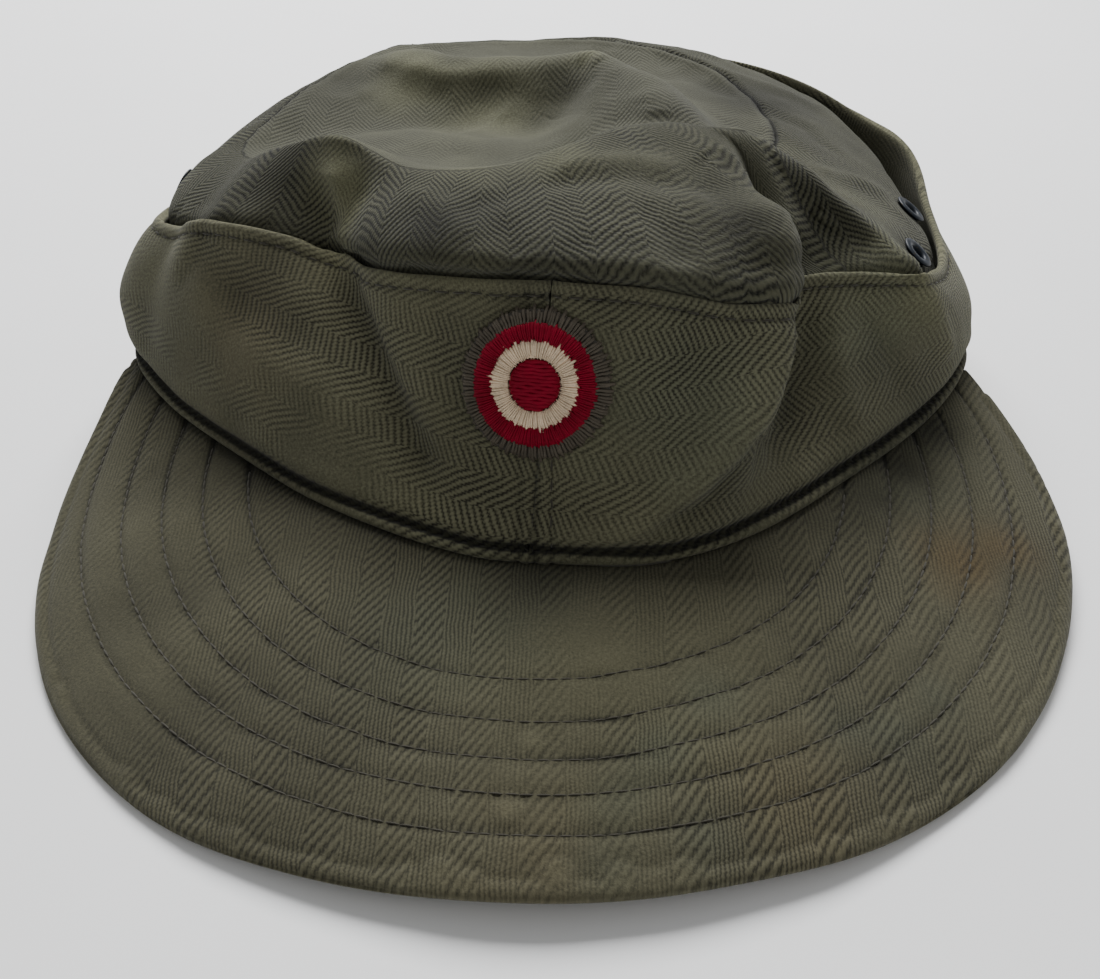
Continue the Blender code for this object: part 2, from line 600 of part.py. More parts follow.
def disc_points(radius, height):
    """Ring of points on the cockade."""
    angle = np.linspace(0, 2 * math.pi, ROUND, endpoint=False)
    return on_band(radius * np.cos(angle), radius * np.sin(angle), np.full(ROUND, height))


def make_ring(name, inner, outer, base, colour):
    """Raised embroidered ring, crowned across its width."""
    middle = 0.5 * (inner + outer)
    shoulder = 0.25 * (outer - inner)
    edge, crest = base + 0.5 * EMBROIDERY, base + EMBROIDERY
    profile = ((inner, base), (inner, edge), (middle - shoulder, crest), (middle + shoulder, crest),
               (outer, edge), (outer, base), (middle, base))
    outline = [disc_points(radius, height) for radius, height in profile]
    return new_object(name, *loft(np.stack(outline, 1), closed=True), colour, 0.7)


def make_disc(name, radii, heights, base, colour):
    """Embroidered disc from its rim to its middle."""
    rings = [disc_points(radius, height) for radius, height in zip(radii, heights)]
    under = [disc_points(radius, base) for radius in radii]
    middle = on_band(np.zeros(1), np.zeros(1), np.array([heights[-1]]))[0]
    under_middle = on_band(np.zeros(1), np.zeros(1), np.array([base]))[0]
    return new_object(name, *lid(rings, middle, under, under_middle), colour, 0.7)


def make_cockade():
    """Backing patch with a red ring, a white ring and a red centre on it."""
    base = 1.5 * CLEARANCE
    top = base + BACKING_WALL
    edge = COCKADE_RADIUS + BORDER
    make_disc("cockade_backing", (edge, 0.96 * edge, 0.5 * edge),
              (base + 0.5 * BACKING_WALL, top, top), base, GREY_BROWN)
    seat = top + CLEARANCE
    half = 0.5 * CLEARANCE
    make_ring("cockade_outer_ring", WHITE_RADIUS + half, COCKADE_RADIUS, seat, RED)
    make_ring("cockade_middle_ring", CENTRE_RADIUS + half, WHITE_RADIUS - half, seat, OFF_WHITE)
    radius = CENTRE_RADIUS - half
    make_disc("cockade_centre", (radius, 0.7 * radius, 0.35 * radius),
              (seat + 0.5 * EMBROIDERY, seat + EMBROIDERY, seat + EMBROIDERY), seat, RED)


def centre_on_origin():
    """Move all meshes so that the middle of their outline on the table is the origin."""
    corners = np.array([vertex.co for item in bpy.data.objects for vertex in item.data.vertices
                        if item.display_type != "WIRE"])
    low, high = corners.min(0), corners.max(0)
    shift = Vector((-0.5 * (low[0] + high[0]), -0.5 * (low[1] + high[1]), -low[2]))
    for item in bpy.data.objects:
        item.data.transform(Matrix.Translation(shift))
    print("moved by", [round(value, 5) for value in shift])


def main():
    for item in list(bpy.data.objects):
        bpy.data.objects.remove(item, do_unlink=True)
    places = columns()
    count = len(SECTIONS)
    make_band("band_left", half_places(places, 0, FRONT))
    make_band("band_right", half_places(places, FRONT, count))
    side, _ = make_crown(places)
    for name in EYELETS:
        make_eyelet(name, side)
    make_peak()
    make_cockade()
    centre_on_origin()
    total = 0
    graph = bpy.context.evaluated_depsgraph_get()
    for item in bpy.data.objects:
        if item.display_type == "WIRE":
            continue
        mesh = item.evaluated_get(graph).data
        triangles = sum(len(face.vertices) - 2 for face in mesh.polygons)
        total += triangles
        print(item.name, triangles)
    print("triangles in all", total)


main()
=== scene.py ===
# %% [markdown]
# # Field cap of herringbone twill
#
# This lesson dresses a finished model of a soft cap. The model's solids give every
# piece its true size and place. Here each cloth piece gets a fine mesh with its rolls,
# seams, puckers and creases, then its weave, and the small sewn and metal pieces.
# Left and right are as seen by someone facing the cap. Lengths of cloth are in
# millimetres, and Blender's own coordinates are in metres.

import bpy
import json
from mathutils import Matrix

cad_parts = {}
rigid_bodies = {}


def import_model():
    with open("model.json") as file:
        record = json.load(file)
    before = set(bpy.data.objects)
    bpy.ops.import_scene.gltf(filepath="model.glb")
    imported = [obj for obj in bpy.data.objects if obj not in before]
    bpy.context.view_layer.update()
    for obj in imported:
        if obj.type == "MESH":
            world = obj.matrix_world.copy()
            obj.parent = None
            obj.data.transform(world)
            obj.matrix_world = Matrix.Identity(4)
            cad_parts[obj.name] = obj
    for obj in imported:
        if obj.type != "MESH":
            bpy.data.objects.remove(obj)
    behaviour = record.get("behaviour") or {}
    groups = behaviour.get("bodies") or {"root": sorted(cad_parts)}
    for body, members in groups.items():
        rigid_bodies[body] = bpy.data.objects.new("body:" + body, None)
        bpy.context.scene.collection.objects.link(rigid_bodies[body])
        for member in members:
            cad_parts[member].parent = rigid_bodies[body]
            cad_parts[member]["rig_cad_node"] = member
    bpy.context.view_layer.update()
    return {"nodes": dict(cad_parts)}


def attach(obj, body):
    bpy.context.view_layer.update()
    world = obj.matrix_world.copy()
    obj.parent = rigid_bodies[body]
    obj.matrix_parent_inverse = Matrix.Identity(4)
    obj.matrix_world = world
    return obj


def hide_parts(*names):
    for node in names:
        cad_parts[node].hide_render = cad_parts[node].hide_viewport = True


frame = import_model()
print("solids:", len(frame["nodes"]))

# %% Modules and units
import json
import math
from contextlib import contextmanager
from heapq import heapify, heappop, heappush
from itertools import product

import bmesh
import bpy
import numpy as np
from mathutils import Euler, Vector
from mathutils.bvhtree import BVHTree
from mathutils.kdtree import KDTree

MM = 0.001
FULL_TURN = 2 * math.pi

# %% [markdown]
# ## Camera
#
# The cap lies on a table and is seen from the front and above. The camera's place and
# lens come from matching the outline of the peak and the crown. `seen` turns a pixel of
# the 1100 x 979 photograph into a point on the cap, so that a crease can be drawn where
# it shows and still sit on the cloth.

# %% Camera and sight lines
FRAME_WIDTH, FRAME_HEIGHT = 1100, 979

view = bpy.data.cameras.new("photo_view")
view.lens = 39.27
view.sensor_width = 36.0
view.clip_start = 0.01
camera = bpy.data.objects.new("camera", view)
bpy.context.scene.collection.objects.link(camera)
camera.location = (0.00924, -0.24858, 0.176)
camera.rotation_euler = [math.radians(turn) for turn in (52.5, 0.1, 2.8)]
bpy.context.scene.camera = camera


def surface_tree(pieces):
    """Search tree over the faces of some pieces."""
    corners, faces = [], []
    for piece in pieces:
        faces += [[v + len(corners) for v in face.vertices] for face in piece.data.polygons]
        corners += [vertex.co.copy() for vertex in piece.data.vertices]
    return BVHTree.FromPolygons(corners, faces)


CLOTH = ("band_left", "band_right", "crown_side", "crown_top", "peak")
cloth_tree = surface_tree([frame["nodes"][name] for name in CLOTH])
focal = view.lens / view.sensor_width * FRAME_WIDTH
turned = Euler(camera.rotation_euler).to_matrix()


def seen(x, y):
    """Point of the cloth under a pixel of the photograph, in millimetres."""
    ray = turned @ Vector(((x - FRAME_WIDTH / 2) / focal, (FRAME_HEIGHT / 2 - y) / focal, -1))
    hit = cloth_tree.ray_cast(camera.location, ray.normalized())[0]
    return None if hit is None else np.array(hit) / MM


print("middle of the cockade in mm:", np.round(seen(535, 383), 1))

# %% [markdown]
# ## Table and light
#
# The cap lies on a pale painted table. One large soft lamp behind and to the left acts
# as the window, a weak one in front opens the shadows, and the pale world fills the rest.

# %% Hex colours
def linear(code, shade=1.0):
    """Linear colour of an sRGB hex code, darkened by a shade under 1."""
    parts = [int(code[i:i + 2], 16) / 255 for i in (1, 3, 5)]
    parts = [p / 12.92 if p <= 0.04045 else ((p + 0.055) / 1.055) ** 2.4 for p in parts]
    return (*(shade * part for part in parts), 1.0)


# %% Nodes and materials
def add(tree, kind, inputs=None, out=0, **settings):
    """Add a shader node with its settings, fill or link its inputs, and return an output.
    A second word in its kind is its operation. A Mix of colours has them in inputs 6 and 7 and in
    output 2. A MapRange leads from inputs 1 and 2 to inputs 3 and 4."""
    kind, _, operation = kind.partition(" ")
    node = tree.nodes.new("ShaderNode" + kind)
    if operation:
        node.operation = operation
    for name, value in settings.items():
        setattr(node, name, value)
    for key, value in (inputs or {}).items():
        if isinstance(value, bpy.types.NodeSocket):
            tree.links.new(value, node.inputs[key])
        else:
            node.inputs[key].default_value = value
    return node.outputs[out]


def new_material(name, roughness, **shader_values):
    """Material with one Principled shader, returned with its tree and shader."""
    material = bpy.data.materials.new(name)
    material.use_nodes = True
    shader = material.node_tree.nodes["Principled BSDF"]
    shader.inputs["Roughness"].default_value = roughness
    for key, value in shader_values.items():
        shader.inputs[key.replace("_", " ")].default_value = value
    return material, material.node_tree, shader


def coat(tree, shader, colour, height, strength, depth):
    """Link a colour, and a bump with a depth in millimetres, to the shader."""
    tree.links.new(colour, shader.inputs["Base Color"])
    bump = add(tree, "Bump", {"Height": height, "Strength": strength, "Distance": depth * MM})
    tree.links.new(bump, shader.inputs["Normal"])


# %% Table
def deselect():
    """Leave no object selected."""
    bpy.ops.object.select_all(action="DESELECT")


deselect()
bpy.ops.mesh.primitive_plane_add(size=6, location=(0, 0, 0))
table = bpy.context.object
table.name = "table"
painted, tree, shader = new_material("painted_table", 0.55)
spots = add(tree, "TexCoord", out="Object")
mottle = add(tree, "TexNoise", {"Vector": spots, "Scale": 9.0, "Detail": 4.0})
tone = add(tree, "Mix", {0: mottle, 6: linear("#EFF0F0"), 7: linear("#F8F8F9")}, out=2, data_type="RGBA")
tree.links.new(tone, shader.inputs["Base Color"])
table.data.materials.append(painted)

# %% Lamps and world
LAMPS = (
    # name, place and size in m, power in W, tint
    ("window", (-0.08, 0.80, 0.95), 0.8, 32.5, "#FFFFFF"),
    ("room", (0.35, -0.90, 0.75), 1.2, 2.0, "#FFF9F0"),
)
for name, place, size, power, tint in LAMPS:
    lamp = bpy.data.lights.new(name, "AREA")
    lamp.size = size
    lamp.energy = power
    lamp.color = linear(tint)[:3]
    holder = bpy.data.objects.new(name, lamp)
    holder.location = place
    holder.rotation_euler = (-Vector(place)).to_track_quat("-Z", "Y").to_euler()
    bpy.context.scene.collection.objects.link(holder)

world = bpy.data.worlds.new("pale_room")
world.use_nodes = True
background = world.node_tree.nodes["Background"]
background.inputs["Color"].default_value = linear("#E6E8EA")
background.inputs["Strength"].default_value = 0.40
bpy.context.scene.world = world
print("lamps:", len(LAMPS))

# %% [markdown]
# ## From solid to cloth
#
# A solid of the model is made of loose flat triangles a few millimetres across. A copy
# is merged, its triangle pairs become quads again, and a subdivision surface turns them
# into smooth cloth with a mesh about a millimetre fine. The copy stands for the solid.

# %% Two ways to edit a mesh
@contextmanager
def edit_mode():
    """Edit the active piece with operators inside the block."""
    bpy.ops.object.mode_set(mode="EDIT")
    yield
    bpy.ops.object.mode_set(mode="OBJECT")


@contextmanager
def shell_of(piece):
    """Edit a piece as a bmesh inside the block, and write it back."""
    shell = bmesh.new()
    shell.from_mesh(piece.data)
    yield shell
    shell.to_mesh(piece.data)
    shell.free()


# %% Copy a solid as quads
MERGED = 0.001 * MM  # points nearer than this are one
FINENESS = 3  # times that each quad is divided into four


def only(*pieces):
    """Select these objects alone and make the last one active."""
    deselect()
    for piece in pieces:
        piece.select_set(True)
    bpy.context.view_layer.objects.active = pieces[-1]


def cloth_copy(node, name):
    """Merged copy of a solid, with its pairs of triangles joined to quads."""
    only(frame["nodes"][node])
    bpy.ops.object.duplicate()
    piece = bpy.context.object
    del piece["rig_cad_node"]
    piece.name = name
    piece.data.materials.clear()
    bpy.ops.mesh.customdata_custom_splitnormals_clear()
    with edit_mode():
        bpy.ops.mesh.select_all(action="SELECT")
        bpy.ops.mesh.remove_doubles(threshold=MERGED)
        bpy.ops.mesh.tris_convert_to_quads(face_threshold=math.pi, shape_threshold=math.pi,
                                           topology_influence=1.6)
        bpy.ops.mesh.mark_sharp(clear=True)
    return piece


def refine(piece):
    """Smooth the quads with an applied subdivision surface."""
    only(piece)
    bpy.ops.object.modifier_add(type="SUBSURF")
    smooth = piece.modifiers[-1]
    smooth.levels = smooth.render_levels = FINENESS
    bpy.ops.object.modifier_apply(modifier=smooth.name)
    bpy.ops.object.shade_smooth()
    print(piece.name, "faces:", len(piece.data.polygons))


def stands_for(piece, *nodes, slot="twill"):
    """The piece rides with the cap and takes the place of these solids."""
    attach(piece, "root")
    if nodes:
        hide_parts(*nodes)


# %% Read and push the points of a mesh
def points_of(piece):
    """Places in millimetres and outward normals of a mesh's points."""
    count = len(piece.data.vertices)
    place, normal = np.empty(count * 3), np.empty(count * 3)
    piece.data.vertices.foreach_get("co", place)
    piece.data.vertices.foreach_get("normal", normal)
    return place.reshape(-1, 3) / MM, normal.reshape(-1, 3)


def push_out(piece, place, normal, push):
    """Move each point along its normal by a height in millimetres."""
    moved = (place + normal * push[:, None]) * MM
    piece.data.vertices.foreach_set("co", moved.ravel())
    piece.data.update()


# %% Random but repeatable lumps
LATTICE = np.random.default_rng(11).random((32, 32, 32))  # seed 11, 32 random heights each way


def cloud(points, size, offset=0.0):
    """Smooth random height between -1 and 1, with lumps about size millimetres across."""
    scaled = points / np.array(size) + offset
    cell = np.floor(scaled).astype(int)
    part = scaled - cell
    part = part * part * (3 - 2 * part)
    total = np.zeros(len(points))
    for corner in product((0, 1), repeat=3):
        weight = np.prod(np.where(corner, part, 1 - part), axis=1)
        i, j, k = ((cell + corner) % len(LATTICE)).T
        total += weight * LATTICE[i, j, k]
    return 2 * total - 1


def unit(vectors):
    """The same directions with a length of 1."""
    return vectors / np.linalg.norm(vectors, axis=-1, keepdims=True)


def ridge(distance, width):
    """Bell curve across a line: 1 on it and gone a few widths away."""
    return np.exp(-(distance / width) ** 2)


def lumps(points, waves):
    """Sum of clouds. Each has a height and a size in mm, and an offset."""
    return sum(height * cloud(points, size, offset) for height, size, offset in waves)


def puckers(along, across, sizes, offset=0.0):
    """Cloud over two measures of the cloth, with a size in mm along each."""
    return cloud(np.stack((along, across, 0 * along), 1), (*sizes, 1), offset)


def profile(distance, curves):
    """Sum of bell curves beside a line. Each has a height, a distance and a width in mm."""
    return sum(height * ridge(distance - middle, width) for height, middle, width in curves)


# %% Distances from a line
def line_tree(points):
    """Search tree over a row of points."""
    tree = KDTree(len(points))
    for number, point in enumerate(points):
        tree.insert(point, number)
    tree.balance()
    return tree


def gap_to(points, line):
    """Distance of each point from a dense row of points."""
    tree = line_tree(line)
    return np.array([tree.find(point)[2] for point in points])


def way_along(piece, place, gap):
    """Length of the shortest way over the cloth's edges, from the points with a gap under 1 mm."""
    ends = np.empty(len(piece.data.edges) * 2, int)
    piece.data.edges.foreach_get("vertices", ends)
    ends = ends.reshape(-1, 2)
    lengths = np.linalg.norm(place[ends[:, 0]] - place[ends[:, 1]], axis=1)
    neighbours = [[] for _ in place]
    for (one, other), length in zip(ends.tolist(), lengths.tolist()):
        neighbours[one].append((other, length))
        neighbours[other].append((one, length))
    queue = [(float(gap[number]), int(number)) for number in np.flatnonzero(gap < 1.0)]
    heapify(queue)
    way = gap.copy()
    done = set()
    while queue:
        length, number = heappop(queue)
        if number not in done:
            done.add(number)
            way[number] = length
            for other, step in neighbours[number]:
                if other not in done:
                    heappush(queue, (length + step, other))
    return way


# %% [markdown]
# ## Measures on the cloth
#
# The weave and every seam follow the cloth, so each point needs a place on it. Round
# the cap the place is the length of an arc, counted from the front, and up the cloth it
# is the distance from a seam or an edge.

# %% Arc length round the cap
HEAD = np.array((-2.76, 33.42, 0.0))  # middle of the head opening
FRONT_TURN = -0.3  # turn of the front seam's middle, in degrees


def turn_of(place, middle=HEAD):
    """Turn round the cap in degrees: 0 at the front, positive to the right."""
    return np.degrees(np.arctan2(place[:, 0] - middle[0], -(place[:, 1] - middle[1])))


def reach_of(place, middle=HEAD):
    """Level distance from the upright line through a middle."""
    return np.linalg.norm((place - middle)[:, :2], axis=1)


def run_lengths(points):
    """Length along an open path up to each of its points."""
    return np.concatenate(([0], np.cumsum(np.linalg.norm(np.diff(points, axis=0), axis=1))))


def path_at(points, lengths, spots):
    """Points of a path at some lengths along it."""
    return np.stack([np.interp(spots, lengths, points[:, axis]) for axis in range(3)], 1)


def arc_table(place):
    """Turns and lengths along a ring of points, counted from turn 0."""
    edges = np.arange(-180, 181, 2)
    which = np.digitize(turn_of(place), edges) - 1
    filled = np.unique(which)
    centres = edges[filled] + 1
    lengths = run_lengths(np.array([place[which == number].mean(0) for number in filled]))
    lengths -= np.interp(0, centres, lengths)
    return centres, lengths


def first_points(place, rank, bins=360, middle=HEAD):
    """The point with the lowest rank at each turn round a middle."""
    turn = np.digitize(turn_of(place, middle), np.linspace(-180, 180, bins + 1))
    order = np.lexsort((rank, turn))
    return place[order[np.unique(turn[order], return_index=True)[1]]]


def evened(points, ends):
    """Path with its small jumps smoothed away: ends are "wrap" for a closed ring, else "edge"."""
    padded = np.pad(points, ((2, 2), (0, 0)), ends)
    return np.stack([np.convolve(padded[:, axis], np.full(5, 0.2), "valid") for axis in range(3)], 1)


def dense(points, step=1.0):
    """The same closed ring with a point every step millimetres."""
    path = np.concatenate((points, points[:1]))
    lengths = run_lengths(path)
    return path_at(path, lengths, np.arange(0, lengths[-1], step))


# %% Write the place on the cloth as a UV map
def write_weave(piece, across, along):
    """UV map in millimetres: U across the columns of the herringbone, V along them."""
    layer = piece.data.uv_layers.new(name="weave")
    corner = np.empty(len(piece.data.loops), int)
    piece.data.loops.foreach_get("vertex_index", corner)
    values = np.stack((across[corner], along[corner]), 1)
    layer.data.foreach_set("uv", values.astype(np.float32).ravel())
    for other in [found.name for found in piece.data.uv_layers if found.name != "weave"]:
        piece.data.uv_layers.remove(piece.data.uv_layers[other])


def write_shade(piece, values, name="wear_and_shade"):
    """Point attribute from 0 to 1. Wear and shade is 0 in a groove darkened with painted shade, 0.5 on plain
    cloth, 1 on a rubbed edge.
    """
    layer = piece.data.attributes.new(name, "FLOAT", "POINT")
    layer.data.foreach_set("value", np.clip(values, 0, 1).astype(np.float32))


# %% [markdown]
# ## Creases
#
# Soft cloth that has been folded in a pocket keeps sharp little creases and slack
# rolls. Each one is a short row of pixels of the photograph with a height and a width.

# %% Creases of the crown and the band
CREASES = (
    # name, height in mm, width in mm to the left and to the right of the path, pixels of the photograph
    ("lobe_lip", 2.6, 11.0, 2.2, ((799, 305), (797, 335), (784, 382), (764, 420), (738, 452), (698, 492),
                                  (650, 520), (602, 545))),
    ("lobe_shade", -1.8, 3.0, 6.0, ((806, 300), (806, 340), (797, 385), (778, 425), (752, 458), (712, 498),
                                    (662, 528))),
    ("lobe_shoulder", 3.6, 9.0, 5.0, ((718, 140), (748, 158), (770, 190), (784, 232), (790, 268))),
    ("brow_roll", 0.9, 3.5, 3.5, ((540, 168), (590, 160), (640, 158), (680, 165))),
    ("brow_hollow", -1.0, 3.5, 3.5, ((530, 182), (590, 176), (650, 176), (700, 186))),
    ("worn_tip", 1.2, 3.0, 3.0, ((575, 58), (592, 56), (606, 60))),
    ("right_ridge", 1.0, 3.5, 3.5, ((815, 172), (850, 180), (895, 197))),
    ("right_hollow", -1.6, 3.5, 3.5, ((805, 205), (840, 222), (880, 248))),
    ("pinch", -1.4, 3.0, 3.0, ((716, 150), (728, 158), (735, 172))),
    ("left_hollow", -0.7, 3.0, 3.0, ((322, 178), (333, 215), (345, 255))),
    ("left_ridge", 4.6, 5.0, 8.0, ((338, 152), (346, 190), (354, 222), (356, 250))),
    ("brow_left", 0.7, 4.0, 4.0, ((405, 185), (440, 205), (470, 240))),
    ("brow_dent", -0.8, 4.5, 4.5, ((470, 190), (500, 225), (520, 262))),
    ("brow_dent_right", -0.8, 4.0, 4.0, ((640, 200), (668, 232), (680, 270))),
    ("brow_swell", 0.9, 5.0, 3.0, ((690, 190), (715, 225), (722, 280))),
    ("rear_fold", 0.9, 3.5, 3.5, ((700, 62), (760, 84), (820, 108), (862, 140))),
    ("rear_hollow", -0.9, 3.5, 3.5, ((690, 78), (750, 102), (806, 128), (846, 160))),
    ("top_crease", 0.7, 3.0, 3.0, ((372, 62), (440, 72), (520, 70))),
    ("top_crease_low", -0.6, 4.0, 4.0, ((390, 88), (455, 98), (540, 92))),
    ("face_fold", -1.7, 3.0, 5.0, ((343, 268), (350, 295), (365, 325), (386, 372), (401, 420), (416, 455),
                                   (432, 482))),
    ("face_ridge", 1.1, 3.5, 6.0, ((362, 272), (372, 300), (388, 335), (408, 380), (424, 425))),
    ("face_dent", -0.7, 5.0, 5.0, ((430, 300), (452, 370), (470, 440))),
    ("side_dent", -1.0, 5.0, 5.0, ((195, 248), (245, 300), (320, 352))),
    ("side_roll", 0.8, 5.0, 5.0, ((186, 300), (250, 350), (330, 400))),
    ("side_pucker", -0.8, 3.0, 3.0, ((206, 222), (192, 255), (172, 290))),
    ("lobe_dent", -0.7, 6.0, 6.0, ((690, 340), (700, 400), (680, 460))),
    ("flap_ridge", 1.5, 5.0, 3.0, ((916, 272), (932, 300), (945, 335), (950, 356))),
    ("flap_roll", 0.8, 4.0, 4.0, ((830, 330), (850, 390), (858, 430))),
    ("flap_dent", -0.9, 4.0, 4.0, ((860, 300), (890, 350), (905, 395))),
)
CREASE_POINTS = 16  # points on the way from one pixel to the next
CREASE_REACH = 2.5  # widths of a crease after which nothing is left of it
CREASE_END = 0.3  # share of its height that a crease has at its ends
CREASE_RISE = 5.0  # how fast it rises from there, per length of the crease


def crease_line(pixels):
    """Dense row of points on the cloth under a path of pixels."""
    path = np.array(pixels, float)
    steps = np.arange(CREASE_POINTS * (len(path) - 1) + 1) / CREASE_POINTS
    spots = [np.interp(steps, range(len(path)), path[:, axis]) for axis in (0, 1)]
    found = [seen(x, y) for x, y in zip(*spots)]
    return np.array([point for point in found if point is not None])


def crease_push(place, normal, outer):
    """Height in millimetres that all creases give to each point, on both faces of the cloth."""
    total = np.zeros(len(place))
    outward = normal * np.where(outer, 1, -1)[:, None]
    for _, height, left_width, right_width, pixels in CREASES:
        line = crease_line(pixels)
        reach = CREASE_REACH * max(left_width, right_width)
        near = np.flatnonzero(((place > line.min(0) - reach) & (place < line.max(0) + reach)).all(1))
        if not len(near):
            continue
        tree = line_tree(line)
        found = [tree.find(point) for point in place[near]]
        nearest = np.array([number for _, number, _ in found])
        gap = np.array([distance for _, _, distance in found])
        forward = line[np.minimum(nearest + 1, len(line) - 1)] - line[np.maximum(nearest - 1, 0)]
        to_right = (np.cross(outward[near], forward) * (place[near] - line[nearest])).sum(1) > 0
        width = np.where(to_right, right_width, left_width)
        share = nearest / (len(line) - 1)
        taper = np.clip(CREASE_END + CREASE_RISE * np.minimum(share, 1 - share), 0, 1)
        total[near] += height * taper * ridge(gap, width)
    return total * np.where(outer, 1, -1)


print("creases:", ", ".join(name for name, *_ in CREASES))

# %% [markdown]
# ## Turned-up band
#
# The band is two layers of twill sewn to the crown's foot and turned up round it. Its
# foot is a soft roll over a deep groove, where its stitches are hidden. Its top edge is
# a narrow welt, and its halves meet at a felled seam in front and behind. Sewn cloth
# always draws in a little along its stitches, which gives the small puckers beside them.

# %% Shape the two halves of the band
FOOT_GROOVE = 3.3  # mm from the foot to its groove
EDGE_STITCH = 2.9  # mm from the top edge to its row
SEAM_STITCH = 3.4  # mm from the front seam to the row beside it
MIDDLE_HEIGHT = 40  # mm over the table, where the arc is measured
PUCKER = 7.0  # mm from one pucker to the next
REAR_SWELLS = (((862, 146), 6.0, 17.0), ((748, 74), 4.0, 15.0))  # pixel, lift and radius in mm
SEAM_DRAW = 0.33  # mm by which an end is drawn to its neighbour
SEAM_HOLD = 5.0  # mm beside the end that go with it
BAND_SLACK = ((0.9, 26, 3.0), (0.45, 11, 7.0))  # height and size in mm, offset
# Curves beside the foot, the top edge and the seam: height, or wear with painted shade in grooves, then
# distance and width in mm
FOOT_RELIEF = ((0.2, 1.3, 1.2), (-1.6, FOOT_GROOVE, 0.8))
EDGE_RELIEF = ((0.15, 1.2, 1.0), (-0.35, EDGE_STITCH, 0.55))
SEAM_RELIEF = ((0.25, 2.0, 1.4), (-0.35, SEAM_STITCH, 0.6), (-0.10, 0.0, 0.8))
FOOT_WEAR_AND_SHADE = ((-0.10, 1.2, 1.6), (-0.7, FOOT_GROOVE, 0.8))
EDGE_WEAR_AND_SHADE = ((0.25, 0.0, 1.0), (-0.3, EDGE_STITCH, 0.6))
SEAM_WEAR_AND_SHADE = ((-0.42, 0.0, 0.8), (-0.2, SEAM_STITCH, 0.6))


def keep_ends_sharp(piece):
    """Crease the edges of the two end faces, so that smoothing doesn't draw them in."""
    with shell_of(piece) as shell:
        crease = shell.edges.layers.float.new("crease_edge")
        for face in shell.faces:
            middle = np.array(face.calc_center_median()) / MM - HEAD
            around = unit(np.array((-middle[1], middle[0], 0.0)))
            if abs(np.array(face.normal) @ around) > 0.9:
                for edge in face.edges:
                    edge[crease] = 1.0


def close_seam(place):
    """Draw both ends of a half together over the narrow gap between the halves."""
    turn = turn_of(place)
    for end, way in ((turn.min(), -1), (turn.max(), 1)):
        gap = np.abs(np.radians(turn - end)) * reach_of(place)
        around = np.stack((np.cos(np.radians(turn)), np.sin(np.radians(turn)), 0 * turn), 1)
        place += way * around * (SEAM_DRAW * np.clip(1 - gap / SEAM_HOLD, 0, 1))[:, None]


band = {}
for node in ("band_left", "band_right"):
    piece = cloth_copy(node, node + "_cloth")
    keep_ends_sharp(piece)
    refine(piece)
    band[node] = piece

both = np.concatenate([points_of(piece)[0] for piece in band.values()])
foot_ring = evened(first_points(both, both[:, 2] - 0.3 * reach_of(both)), "wrap")
edge_ring = evened(first_points(both, -both[:, 2]), "wrap")
foot_line, edge_line = dense(foot_ring, 0.5), dense(edge_ring, 0.5)
band_arc = arc_table(both[np.abs(both[:, 2] - MIDDLE_HEIGHT) < 8])
print("band length round the cap in mm:", round(float(np.ptp(band_arc[1])), 1))


def shape_band(piece):
    """Give one half its rolls, grooves, puckers and creases, and measure its cloth."""
    place, normal = points_of(piece)
    close_seam(place)
    outward = place - HEAD
    outward[:, 2] = 0
    outer = (normal * outward).sum(1) > 0
    arc = np.interp(turn_of(place), *band_arc)
    foot, edge = gap_to(place, foot_line), gap_to(place, edge_line)
    seam = np.abs(arc - np.interp(FRONT_TURN, *band_arc))
    push = profile(foot, FOOT_RELIEF) + profile(edge, EDGE_RELIEF) + profile(seam, SEAM_RELIEF)
    # The roll over the foot, the puckers under the top edge, and the slack of the free cloth
    push += (0.7 + 0.4 * puckers(arc, foot, (PUCKER, 14))) * ridge(foot - 6.5, 2.8)
    push += 0.30 * puckers(arc, edge, (PUCKER, 12), 5.0) * ridge(edge - 6, 4)
    push += np.clip(foot / 12, 0, 1) * lumps(place, BAND_SLACK)
    folds = crease_push(place, normal, outer)
    lean = unit(unit(outward) + (0, 0, 1)) * np.clip(foot / 20, 0, 1)[:, None]
    for pixel, lift, radius in REAR_SWELLS:
        place += lift * lean * ridge(np.linalg.norm(place - seen(*pixel), axis=1), radius)[:, None]
    push_out(piece, place, normal, np.where(outer, push, 0) + folds)
    push += folds
    write_weave(piece, foot, arc)
    # Wear and shade: rubbed places paler; hollows, the foot's groove, the stitch row and the seam darker,
    # which is painted shade
    wear_and_shade = 0.5 + 0.14 * push + 0.12 * cloud(place, 9, 2.0)
    wear_and_shade += profile(foot, FOOT_WEAR_AND_SHADE) + profile(edge, EDGE_WEAR_AND_SHADE) + profile(seam, SEAM_WEAR_AND_SHADE)
    write_shade(piece, wear_and_shade)
    write_shade(piece, 0.5 * ridge(foot - 1, 2.0) + 0.12 * ridge(edge - 1, 1.8), "rubbed")
    return {"arc": arc, "foot": foot, "edge": edge, "outer": outer}


band_measures = {}
for node, piece in band.items():
    band_measures[node] = shape_band(piece)
    stands_for(piece, node)

# %% [markdown]
# ## Crown
#
# The side wall and the top panel meet at a felled seam. Both copies are merged at that
# seam, so that the cloth runs on without a step, refined together, and parted again.
# The eyelet holes are taken out first, because their ragged corners would dent the
# smooth cloth, and are cut again at the end.

# %% Middle and direction of each eyelet
HOLE_RADIUS, HOLE_RIM, HOLE_DEPTH = 3.1, 0.2, 5.0  # mm


def disc_axis(name):
    """Middle, in millimetres, and outward direction of a flat round piece."""
    place, _ = points_of(frame["nodes"][name])
    middle = place.mean(0)
    axis = np.linalg.svd(place - middle)[2][2]
    outward = np.array((*(middle - HEAD)[:2], 20.0))
    return middle, axis * np.sign(axis @ outward)


eyelet_axes = {name: disc_axis(name) for name in frame["nodes"] if name.startswith("eyelet_")}

